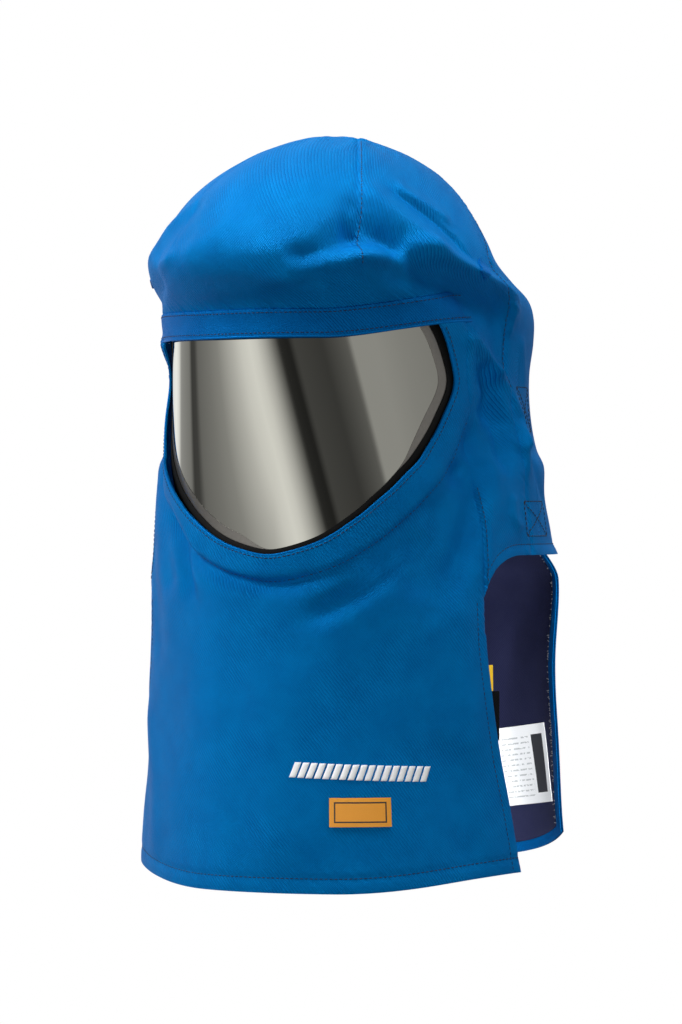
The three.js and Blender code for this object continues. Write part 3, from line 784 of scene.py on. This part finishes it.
def panel(
    name, turns, levels, edges, outer, inner, material, surface=cloth, step=STEP, uv=None, roll=0.3, **how
):
    """A closed sheet of cloth between two bearings and two levels, cut by its edges."""
    first, last = np.interp(place_at(levels), PLACES, ARC)
    rows = np.interp(np.linspace(first, last, max(int((last - first) / step), 2) + 1), ARC, PLACES)
    columns = np.linspace(turns[0], turns[1], max(int((turns[1] - turns[0]) * UNROLL / step), 2) + 1)
    turn, place = (x.ravel() for x in np.meshgrid(columns, rows))
    values = np.array([edge(turn, place, level_at(place)) for edge in edges])
    wide = len(columns)
    a = (np.arange(len(rows) - 1)[:, None] * wide + np.arange(wide - 1)).ravel()
    tris = np.concatenate([np.stack([a, a + 1, a + 1 + wide], 1), np.stack([a, a + 1 + wide, a + wide], 1)])
    corner = values[:, tris]
    whole = (corner > 0).all(axis=(0, 2))
    gone = (corner <= 0).all(axis=2).any(axis=0)
    faces = [tuple(t) for t in tris[whole]]
    turn, place = list(turn), list(place)
    made = {}

    def number(p, start):
        for t in start:
            if turn[t] == p[0] and place[t] == p[1]:
                return int(t)
        key = (round(p[0], 6), round(p[1], 6))
        if key not in made:
            made[key] = len(turn)
            turn.append(p[0])
            place.append(p[1])
        return made[key]

    for t in tris[~whole & ~gone]:
        polygon = [[turn[k], place[k], *values[:, k]] for k in t]
        for k in range(len(edges)):
            polygon = clip(polygon, k)
            if not polygon:
                break
        ring = []
        for p in polygon:
            at = number(p, t)
            if not ring or (at != ring[-1] and at != ring[0]):
                ring.append(at)
        faces += [(ring[0], ring[k], ring[k + 1]) for k in range(1, len(ring) - 1)]
    faces = np.array(faces)
    used, faces = np.unique(faces, return_inverse=True)
    faces = faces.reshape(-1, 3)
    turn, place = np.array(turn)[used], np.array(place)[used]
    level = level_at(place)
    near = np.min([edge(turn, place, level) for edge in edges], axis=0)
    rolled = roll * np.exp(-np.maximum(near, 0) / 0.9)
    point, normal = surface(turn, place)
    top = point - normal * (outer + rolled)[:, None]
    under = point - normal * (inner - rolled)[:, None]
    half = len(turn)
    pairs = np.concatenate([faces[:, [0, 1]], faces[:, [1, 2]], faces[:, [2, 0]]])
    codes = pairs[:, 0] * half + pairs[:, 1]
    back = pairs[:, 1] * half + pairs[:, 0]
    rim = pairs[~np.isin(codes, back)]
    p, q = rim[:, 0], rim[:, 1]
    index = np.concatenate([
        faces[:, [0, 2, 1]], faces + half,
        np.stack([p, q, q + half], 1), np.stack([p, q + half, p + half], 1),
    ])
    if uv is None:
        flat = np.stack([wrap(turn) * DEGREE * radius(turn, place), level], 1)
    else:
        flat = uv(turn, place, level)
    obj = make(name, np.concatenate([top, under]), index, material, uv=np.concatenate([flat, flat]), **how)
    sharp = obj.data.attributes.new("sharp_edge", "BOOLEAN", "EDGE")
    ends = np.zeros(len(obj.data.edges) * 2, np.int32)
    obj.data.edges.foreach_get("vertices", ends)
    ends = ends.reshape(-1, 2)
    same = (ends[:, 0] < half) == (ends[:, 1] < half)
    rim_codes = np.sort(rim, 1) @ np.array([2 * half, 1])
    codes = np.sort(ends % half, 1) @ np.array([2 * half, 1])
    sharp.data.foreach_set("value", same & np.isin(codes, rim_codes))
    return obj


# Edges of a panel: each is positive on the side that is kept
def before(edge, by=0):
    return lambda *at: -edge(*at) - by


def above(line, by=0):
    return lambda t, p, z: z - line(t) - by


def below(line, by=0):
    return lambda t, p, z: line(t) - z - by


def outside(by=0):
    return lambda t, p, z: opening_reach(t, z) + by


def within(by):
    return lambda t, p, z: by - opening_reach(t, z)


def rim_inner(t, p, z):
    share = smooth((np.abs(t - RIM_GONE) - RIM_CLEAR) / RIM_FADE)
    return opening_reach(t, z) + SEAL_SHOW - SEAL_SOFT + RIM_WIDE * share


shell = panel(
    "crown_and_sides", (-118, 118), (CROWN_TOP, SLIT_LEVEL - SLIT_CORNER),
    [
        before(beyond_back, HALF_GAP),
        lambda t, p, z: np.maximum(above_band(t, p, z), beyond_band(t, p, z)) - HALF_GAP,
        above(shell_hem, HALF_GAP),
    ],
    0, CLOTH, blue, stands_for=("crown_front", "side_left", "side_right"),
)
back = panel(
    "back_cloth", (75, 285), (CROWN_TOP, SLIT_LEVEL),
    [
        lambda t, p, z: around(t, p, back_edge(p)) - HALF_GAP,
        lambda t, p, z: -around(t, p, 360 - back_edge(p)) - HALF_GAP,
        lambda t, p, z: z - shell_hem(np.full(t.shape, 180.0)),
    ],
    0, CLOTH, blue, step=2.8, stands_for=("back_panel",),
)
band = panel(
    "brow_band_cloth", (-81, 81), (CROWN_TOP - 118, CROWN_TOP - 158),
    [before(above_band, HALF_GAP), above(band_low, HALF_GAP), before(beyond_band, HALF_GAP)],
    -BAND_PROUD, CLOTH, band_blue, step=1.5, roll=0.7, slot="band_cloth", stands_for=("brow_band",),
)
bib = panel(
    "bib_cloth", (-84, 84), (FACE_TOP, HEM_LEVEL),
    [below(band_low, HALF_GAP), before(beyond_band, HALF_GAP), outside(), above(bib_hem)],
    0, CLOTH, blue, step=1.9, stands_for=("front_bib",),
)
panel(
    "seal_strip", (-88, 88), (FACE_TOP, OPENING_FOOT - SEAL_UNDERLAP),
    [
        lambda t, p, z: opening_reach(t, z) + SEAL_SHOW - SEAL_SOFT,
        within(SEAL_UNDERLAP),
        below(band_low, -2),
    ],
    -LAYER_GAP - SEAL_WALL, -LAYER_GAP, rubber, surface=shield, slot="seal", stands_for=("visor_seal",),
)
panel(
    "visor_shield", (-88, 88), (CROWN_TOP - 130, OPENING_FOOT - VISOR_UNDERLAP),
    [within(VISOR_UNDERLAP), below(band_low, -VISOR_UNDERLAP)],
    0, VISOR_WALL, smoke, surface=shield, slot="visor", stands_for=("visor",),
)
panel(
    "visor_rim", (-88, 88), (FACE_TOP, OPENING_FOOT - 2),
    [rim_inner, within(2 - SEAL_SHOW), below(band_low, -2)],
    -0.25, -0.03, smoke_rim, surface=shield, roll=0, slot="visor",
)

cape_outer = CLOTH + LAYER_GAP
lining_outer = cape_outer + CLOTH + LAYER_GAP
cape_sides = [
    lambda t, p, z: around(t, p, CAPE_TURN),
    lambda t, p, z: -around(t, p, 360 - CAPE_TURN),
    lambda t, p, z: z - cape_hem(wrap(t)),
]


def cape_inset(t, p, z):
    return np.min([edge(t, p, z) for edge in cape_sides], axis=0)


CAPE_TURNS = (CAPE_TURN - 4, 364 - CAPE_TURN)
CAPE_LEVELS = (SLIT_LEVEL + CAPE_OVERLAP, HEM_LEVEL)
cape_top = below(lambda t: CAPE_LEVELS[0])
cape = panel(
    "cape_cloth", CAPE_TURNS, CAPE_LEVELS, [*cape_sides, cape_top], cape_outer, cape_outer + CLOTH, blue,
    step=2.8, stands_for=("back_cape",),
)
binding = panel(
    "cape_turned_edge", CAPE_TURNS, CAPE_LEVELS,
    [*cape_sides, cape_top, lambda t, p, z: BINDING_WIDTH - cape_inset(t, p, z)],
    lining_outer, lining_outer + LINING, band_blue,
    step=2.0, slot="band_cloth", stands_for=("cape_binding",),
)
lining = panel(
    "cape_navy_lining", CAPE_TURNS, CAPE_LEVELS,
    [lambda t, p, z: cape_inset(t, p, z) - BINDING_WIDTH - SEAM_GAP, cape_top],
    lining_outer, lining_outer + LINING, navy, step=2.8, slot="lining", stands_for=("cape_lining",),
)

# Small sewn pieces
LABEL_DROP, LABEL_WIDTH, LABEL_INSET = 484, 58, 6
TAB_DROP, TAB_HEIGHT, STRAP_LENGTH = 406, 19, 36
WELT_LEAD, WELT_TILT = 6, 23


def radius_at(turn, level):
    return float(radius(np.array([float(turn)]), place_at([level]))[0])


def sewn(name, node, slot, material, turn, drop, width, height, wall, tilt=0, under=None):
    """A flat piece, by the bearing and drop of its middle. It lies on the cloth, or under it by a depth."""
    outer, inner = (-LAYER_GAP - wall, -LAYER_GAP) if under is None else (under, under + wall)
    arc = radius_at(turn, CROWN_TOP - drop)
    reach = (width + height) / 2
    span = reach / (arc * DEGREE)
    c, s = math.cos(tilt * DEGREE), math.sin(tilt * DEGREE)

    def offset(t, z, across, up):
        return (t - turn) * DEGREE * arc * across + (z - CROWN_TOP + drop) * up

    def edge(across, up, size):
        return lambda t, p, z: size / 2 - offset(t, z, across, up)

    def local(t, p, z):
        return np.stack([offset(t, z, c, -s), offset(t, z, s, c)], 1)

    panel(
        name, (turn - span, turn + span), (CROWN_TOP - drop + reach, CROWN_TOP - drop - reach),
        [edge(c, -s, width), edge(-c, s, width), edge(s, c, height), edge(-s, -c, height)],
        outer, inner, material, step=1.5, uv=local, roll=0.15, slot=slot, stands_for=(node,),
    )


label_arc = radius_at(CAPE_TURN, CROWN_TOP - LABEL_DROP) * DEGREE
label_turn = CAPE_TURN + (BINDING_WIDTH + LABEL_INSET + LABEL_WIDTH / 2) / label_arc
tab_turn, strap_turn = (float(bib_edge(CROWN_TOP - TAB_DROP - down)) for down in (0, STRAP_LENGTH))
strap_drop = TAB_DROP + (TAB_HEIGHT + STRAP_LENGTH) / 2 + SEAM_GAP
under_lining = lining_outer + LINING + LAYER_GAP
# Bearing, drop, width, height, thickness, tilt and depth of each
sewn(
    "care_label_satin", "care_label", "label", label_white, label_turn, LABEL_DROP, LABEL_WIDTH, 62, 0.6, 8,
    under_lining,
)
sewn("side_tab_weave", "side_tab", "tab", yellow, tab_turn, TAB_DROP, 9, TAB_HEIGHT, 0.6, 0, cape_outer)
sewn(
    "side_strap_webbing", "side_strap", "strap", webbing, strap_turn, strap_drop, 10, STRAP_LENGTH, 1.4, 0,
    cape_outer,
)
sewn("chest_patch_weave", "chest_patch", "patch", patch_orange, 25, 501, 45, 21, 1)
for side_name, way in (("left", 1), ("right", -1)):
    turn, tilt = way * (BACK_TURN - WELT_LEAD), way * -WELT_TILT
    sewn("welt_cloth_" + side_name, "welt_" + side_name, "band_cloth", band_blue, turn, 106, 26, 6, 1.6, tilt)

# Threads
def surface_line(turn, level, out):
    """Points at a height over the cloth, and the directions out of it."""
    point, normal = cloth(np.asarray(turn, float), place_at(level))
    return point + normal * out, normal


def tube_faces(first, count, ring):
    """The sides and ends of a tube of rings of points, from the number of its first point."""
    faces = []
    for o in range(first, first + (count - 1) * ring, ring):
        for k in range(ring):
            n = (k + 1) % ring
            faces.append((o + k, o + n, o + ring + n, o + ring + k))
    last = first + (count - 1) * ring
    faces += [(first, first + k, first + k - 1, first + k - 2) for k in range(ring - 1, 1, -2)]
    return faces + [(last, last + k, last + k + 1, last + k + 2) for k in range(1, ring - 2, 2)]


def unit(vectors):
    return vectors / np.linalg.norm(vectors, axis=-1, keepdims=True)


def threads(name, lines, material, stitch=2.7, gap=0.9, thick=0.34, slot="outer_cloth"):
    """Stitches along lines of (turns, levels, height): each is a short thread that dips at both ends."""
    ring = 6
    spin = np.arange(ring) * 2 * math.pi / ring
    shares = np.array([0.0, 0.25, 0.5, 0.75, 1.0])
    wide = np.array([0.45, 0.95, 1.0, 0.95, 0.45]) * thick
    rise = np.array([-0.25, 0.1, 0.2, 0.1, -0.25]) * thick + thick * 0.35
    points, faces, first = [], [], 0
    for turn, level, out in lines:
        line, normal = surface_line(turn, level, out)
        far = np.concatenate([[0], np.cumsum(np.linalg.norm(np.diff(line, axis=0), axis=1))])
        count = int(far[-1] / (stitch + gap))
        if count < 1:
            continue
        at = (np.arange(count) * far[-1] / count + gap / 2)[:, None] + shares * stitch
        centre, up = (
            np.stack([np.interp(at, far, x[:, k]) for k in range(3)], -1) for x in (line, normal)
        )
        run = unit(centre[:, -1:] - centre[:, :1])
        side = unit(np.cross(up, np.broadcast_to(run, up.shape)))
        centre = centre + up * rise[:, None]
        rings = (
            centre[:, :, None] + side[:, :, None] * (np.cos(spin)[:, None] * wide[:, None, None])
            + up[:, :, None] * (np.sin(spin)[:, None] * wide[:, None, None]) * 0.7
        )
        points.append(rings.reshape(-1, 3))
        for _ in range(count):
            faces += tube_faces(first, len(shares), ring)
            first += len(shares) * ring
    make(name, np.concatenate(points), faces, material, slot)


def tube(name, turn, level, out, thick, material, slot):
    """A thin round cord laid on the cloth."""
    line, normal = surface_line(turn, level, out)
    side = unit(np.cross(normal, unit(np.gradient(line, axis=0))))
    ring = 8
    spin = (np.arange(ring) * 2 * math.pi / ring)[:, None]
    points = line[:, None] + (side[:, None] * np.cos(spin) + normal[:, None] * np.sin(spin)) * thick
    make(name, points.reshape(-1, 3), tube_faces(0, len(line), ring), material, slot)


def by_level(edge, value, levels, turns, step=1.5):
    """The line where an edge function has a value, found along each level between two bearings."""
    out_t, out_z = [], []
    for z in np.arange(levels[0], levels[1], -step):
        t = np.linspace(turns[0], turns[1], 400)
        v = edge(t, np.full(t.shape, float(place_at(z))), np.full(t.shape, z)) - value
        k = np.flatnonzero((v[:-1] > 0) != (v[1:] > 0))
        if len(k):
            j = k[0]
            share = v[j] / (v[j] - v[j + 1])
            out_t.append(t[j] + share * (t[j + 1] - t[j]))
            out_z.append(z)
    return np.array(out_t), np.array(out_z)


def opening_line(past):
    """Round the sides and foot of the visor opening, by bearing from straight down."""
    bearing = np.arange(-118, 118.1, 1.0)
    reach = opening_size(np.abs(bearing)) + past
    level = CROWN_TOP - OPENING_DROP - reach * np.cos(bearing * DEGREE)
    turn = reach * np.sin(bearing * DEGREE) / UNROLL + face_twist(level)
    keep = (level < band_low(turn) - 1) & (beyond_band(turn, place_at(level), level) < -2)
    return turn[keep], level[keep]


TURN_STEP = 0.7
t = np.arange(-66, 66, TURN_STEP)
band_lines = [(t, band_top(t) - 2.0, BAND_PROUD - 0.1), (t, band_low(t) + 3.2, BAND_PROUD - 0.1)]
threads("band_stitches", band_lines, thread_dark, slot="band_cloth")
threads("opening_stitches", [(*opening_line(FACING_STITCH), 0), (*opening_line(3), 0)], thread_dark)
t = np.arange(-72, 72, TURN_STEP)
hem_lines, seam_lines = [(t, bib_hem(t) + HEM_FOLD, 0)], []
seam_foot = SLIT_LEVEL - 20
for way in (1, -1):
    seam_lines.append((*by_level(beyond_band, 2.2, (-262, seam_foot), (way * 50, way * 92)), 0))
    hem_lines.append((*by_level(beyond_band, -SIDE_FOLD, (seam_foot - 14, -546), (way * 48, way * 82)), 0))
    seam_lines.append((*by_level(beyond_back, -2.4, (-60, -190), (way * 60, way * 118)), 0))
    t = way * np.arange(62, 129, TURN_STEP)
    seam_lines.append((t, shell_hem(t) + SIDE_FOLD, 0))
seam_lines.append((*by_level(beyond_dart, 2.4, (-4, -104), (4, 110)), 0))
t = np.arange(129, 232, TURN_STEP)
seam_lines.append((t, shell_hem(np.full(t.shape, 180.0)) + SIDE_FOLD, 0))
threads("hem_stitches", hem_lines, thread_dark)
threads("seam_stitches", seam_lines, thread_dark)

# Boxed crosses that hold the straps on the inside
tack_lines, n = [], 14
for low, high, top, foot in ((88, 101, -187, -220), (81, 96, -273, -299)):
    for way in (1, -1):
        a, b = way * np.linspace(low, high, n), way * np.linspace(high, low, n)
        down = np.linspace(top, foot, n)
        tack_lines += [(a, np.full(n, top), 0), (a, np.full(n, foot), 0), (a, down, 0), (b, down, 0)]
        tack_lines += [(np.full(n, way * low), down, 0), (np.full(n, way * high), down, 0)]
threads("box_tacks", tack_lines, thread_black, thick=0.42)

# Serged threads inside the cape's turned edge
serge = {"serge_light": [], "serge_dark": []}
inside = -(lining_outer + LINING) - 0.45
for z in np.arange(-300, -526, -1.7):
    reach = radius_at(CAPE_TURN, z) * DEGREE
    for way in (1, -1):
        start, wide, fall = rng.uniform(-1.6, -0.4), rng.uniform(1.8, 3.8), rng.uniform(-1.8, 1.8)
        t = way * (CAPE_TURN + (BINDING_WIDTH + np.array([start, start + wide])) / reach)
        kind = "serge_light" if rng.uniform() < 0.45 else "serge_dark"
        serge[kind].append((t, np.array([z, z + fall]), inside))
for kind, lines in serge.items():
    finish = thread_grey if kind == "serge_light" else thread_dark
    threads(kind, lines, finish, stitch=1.7, gap=0.1, thick=0.42, slot="lining")

# Slanted bars in satin stitch across the chest: each is a domed grid of points over a flat one
BARS, BAR_TALL, BAR_LEAN, BAR_WIDE = 17, 11.0, 3.2, 3.6
UP, ACROSS = 12, 7
up, side = np.repeat(np.linspace(0, 1, UP), ACROSS), np.tile(np.linspace(-1, 1, ACROSS), UP)
dome = np.sqrt(np.clip(1 - side**2, 0, 1)) * np.clip(np.minimum(up, 1 - up) * 9 + 0.35, 0, 1)
n = UP * ACROSS
bar_faces = []
for j in range(UP - 1):
    for o in range(j * ACROSS, j * ACROSS + ACROSS - 1):
        bar_faces.append((o, o + 1, o + ACROSS + 1, o + ACROSS))
        bar_faces.append((o + n, o + ACROSS + n, o + ACROSS + 1 + n, o + 1 + n))
ring = [*range(ACROSS), *range(2 * ACROSS - 1, n, ACROSS), *range(n - 2, n - ACROSS - 1, -1)]
ring += range(n - 2 * ACROSS, 0, -ACROSS)
bar_faces += [(w, v, v + n, w + n) for v, w in zip(ring, ring[1:] + ring[:1])]
points = []
for t in np.linspace(8.0, 43.0, BARS):
    level = -467.5 - 0.11 * (t - 8) + BAR_TALL * (up - 0.5)
    point, normal = cloth(t + (side * BAR_WIDE / 2 + BAR_LEAN * (up - 0.5)) / UNROLL, place_at(level))
    points += [point + normal * (0.15 + 0.75 * dome)[:, None], point - normal * 0.2]
faces = np.concatenate([np.array(bar_faces) + 2 * n * k for k in range(BARS)])
make("satin_bars", np.concatenate(points), faces, thread_white, "label")

# Rounded edges of the brow band and of the opening
t = np.arange(-66, 66, 0.5)
tube("band_piping", t, band_low(t) + 0.6, 0.1, 1.15, band_blue, "band_cloth")
t, z = opening_line(0.8)
tube("opening_rolled_edge", t, z, -0.6, 0.95, band_blue, "band_cloth")

# Camera, light and room
CAMERA_TURN = 22.5 * DEGREE
CAMERA_FAR = 2.719
CAMERA_ASIDE = 0.00606
c, s = math.cos(CAMERA_TURN), math.sin(CAMERA_TURN)
camera = add_object("camera", bpy.data.cameras.new("camera"))
camera.data.lens = 126.2
camera.data.sensor_width = 36
camera.data.clip_end = 60
camera.location = (CAMERA_FAR * s + CAMERA_ASIDE * c, -CAMERA_FAR * c + CAMERA_ASIDE * s, -0.281)
camera.rotation_euler = (math.pi / 2, 0, CAMERA_TURN)
bpy.context.scene.camera = camera
bpy.context.scene.view_settings.view_transform = "Standard"

world = bpy.data.worlds.new("room")
bpy.context.scene.world = world
world.use_nodes = True
colour, strength = world.node_tree.nodes["Background"].inputs[:2]
colour.default_value, strength.default_value = (1, 1, 1, 1), 0.08


def lamp(name, bearing, height, far, size, power):
    """An area light in metres and watts, aimed at the middle of the hood."""
    light = bpy.data.lights.new(name, "AREA")
    light.shape = "RECTANGLE"
    light.size, light.size_y = size
    light.energy = power
    obj = add_object(name, light)
    b = bearing * DEGREE
    obj.location = (far * math.sin(b), -far * math.cos(b), height)
    away = np.array(obj.location) - (0, 0, -0.25)
    obj.rotation_euler = (math.acos(away[2] / np.linalg.norm(away)), 0, math.atan2(away[0], -away[1]))
    obj.visible_camera = False
    return obj


lamp("key_left", -54, 1.1, 2.2, (0.6, 0.7), 43)
lamp("fill_right", 100, 1.7, 1.8, (0.6, 0.8), 16)
lamp("low_front", 35, -1.3, 2.2, (1.0, 0.5), 9.5)
lamp("top", 30, 2.1, 0.25, (0.5, 0.5), 42)
lamp("rim_back", 150, 0.9, 2.4, (1.2, 1.6), 4)


# Small lamps that light only the inside of the cape, the label, or the bars and the patch
def lit_only(light, *names):
    group = bpy.data.collections.new("lit_by_" + light.name)
    for lit_name in names:
        group.objects.link(bpy.data.objects[lit_name])
    light.light_linking.receiver_collection = group


INSIDE = ("cape_navy_lining", "care_label_satin", "cape_turned_edge", "serge_light", "side_tab_weave")
lit_only(lamp("cape_inside", 48, -0.45, 1.3, (0.4, 0.6), 11), *INSIDE)
lit_only(lamp("label_lift", 40, -0.45, 1.3, (0.4, 0.6), 34), "care_label_satin")
lit_only(lamp("chest_lift", 0, -0.3, 1.6, (0.6, 0.6), 8), "satin_bars", "chest_patch_weave")


def emission(name, strength):
    n = Nodes(name)
    n.tree.nodes.remove(n.shader)
    n.shader = n.tree.nodes.new("ShaderNodeEmission")
    n.tree.links.new(n.shader.outputs[0], n.tree.nodes["Material Output"].inputs[0])
    n.finish(Strength=strength)
    return n


def stage_mesh(name, points, faces, material, seen_by):
    mesh = bpy.data.meshes.new(name)
    mesh.from_pydata(points, [], faces)
    mesh.polygons.foreach_set("use_smooth", [True] * len(faces))
    mesh.materials.append(material)
    obj = add_object(name, mesh)
    for ray in ("camera", "diffuse", "glossy", "transmission", "shadow"):
        setattr(obj, "visible_" + ray, ray == seen_by)
    obj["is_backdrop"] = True


def circle(wide, z, count):
    turns = (2 * math.pi * i / count for i in range(count))
    return [(wide * math.sin(a), -wide * math.cos(a), z) for a in turns]


def rings(levels, count):
    """Quads between circles of points."""
    return [
        (j + i, j + (i + 1) % count, j + count + (i + 1) % count, j + count + i)
        for j in range(0, (levels - 1) * count, count) for i in range(count)
    ]


# White room seen behind the hood
N_ROUND, N_UP, ROOM = 48, 24, 9.0
points = []
for tilt in np.linspace(0, math.pi, N_UP + 1):
    points += circle(ROOM * math.sin(tilt), ROOM * math.cos(tilt), N_ROUND)
stage_mesh("backdrop", points, rings(N_UP + 1, N_ROUND), emission("backdrop_white", 1.0).material, "camera")

# Strip lights and dark flags that the visor mirrors: grey by bearing, slanting with height
SLANT, SLANT_LEVEL = 155.0, -0.095
n = emission("mirror_cards", 1.4)
x, y, z = n.split(n.metres())
bearing = n.math("ARCTAN2", x, y * -1.0) * (180 / math.pi)
front_only = n.math("MINIMUM", n.math("MAXIMUM", (bearing + 110.0) * (1 / 90.0)), 1.0)
across = bearing + (z - SLANT_LEVEL) * SLANT * front_only
ramp = n.add("ValToRGB", {0: across * (1 / 360.0) + 0.5})
n.finish(Color=ramp)
# Bearing of each change of the cards, and how bright it is
CARDS = [
    (-180, 0.3), (-150, 0.45), (-125, 0.9), (-118, 0.8), (-113, 0.33), (-99, 0.24), (-96, 0.06), (-91, 0.07),
    (-87, 0.18), (-75, 0.25), (-66, 0.33), (-59, 0.48), (-52, 0.64), (-45, 0.84), (-38, 0.95), (-33, 0.86),
    (-27, 0.58), (-21, 0.24), (-16.5, 0.03), (-10, 0.02), (-6, 0.075), (12, 0.055), (22, 0.1), (29, 0.14),
    (32, 0.37), (48, 0.37), (66, 0.32), (90, 0.28), (110, 0.2), (140, 0.3), (180, 0.3),
]
stops = ramp.socket.node.color_ramp.elements
while len(stops) < len(CARDS):
    stops.new(0.5)
for stop, (where, bright) in zip(stops, CARDS):
    stop.position = where / 360 + 0.5
    stop.color = (bright, bright, bright * 0.97, 1)
points = circle(1.5, -1.4, 96) + circle(1.5, 1.2, 96)
stage_mesh("mirror_cards", points, rings(2, 96), n.material, "glossy")

# Pale floor, well below the hood
floor = plain(
    "pale_floor", 0xF8F8F6, 0xF0F0EE, 0.9, scale=3.0, strength=0.05, Emission_Strength=0.4,
    Emission_Color=(1, 1, 1, 1),
)
stage_mesh("floor", circle(2.0, -1.0, 96), [tuple(range(96))], floor, "camera")

low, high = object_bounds()
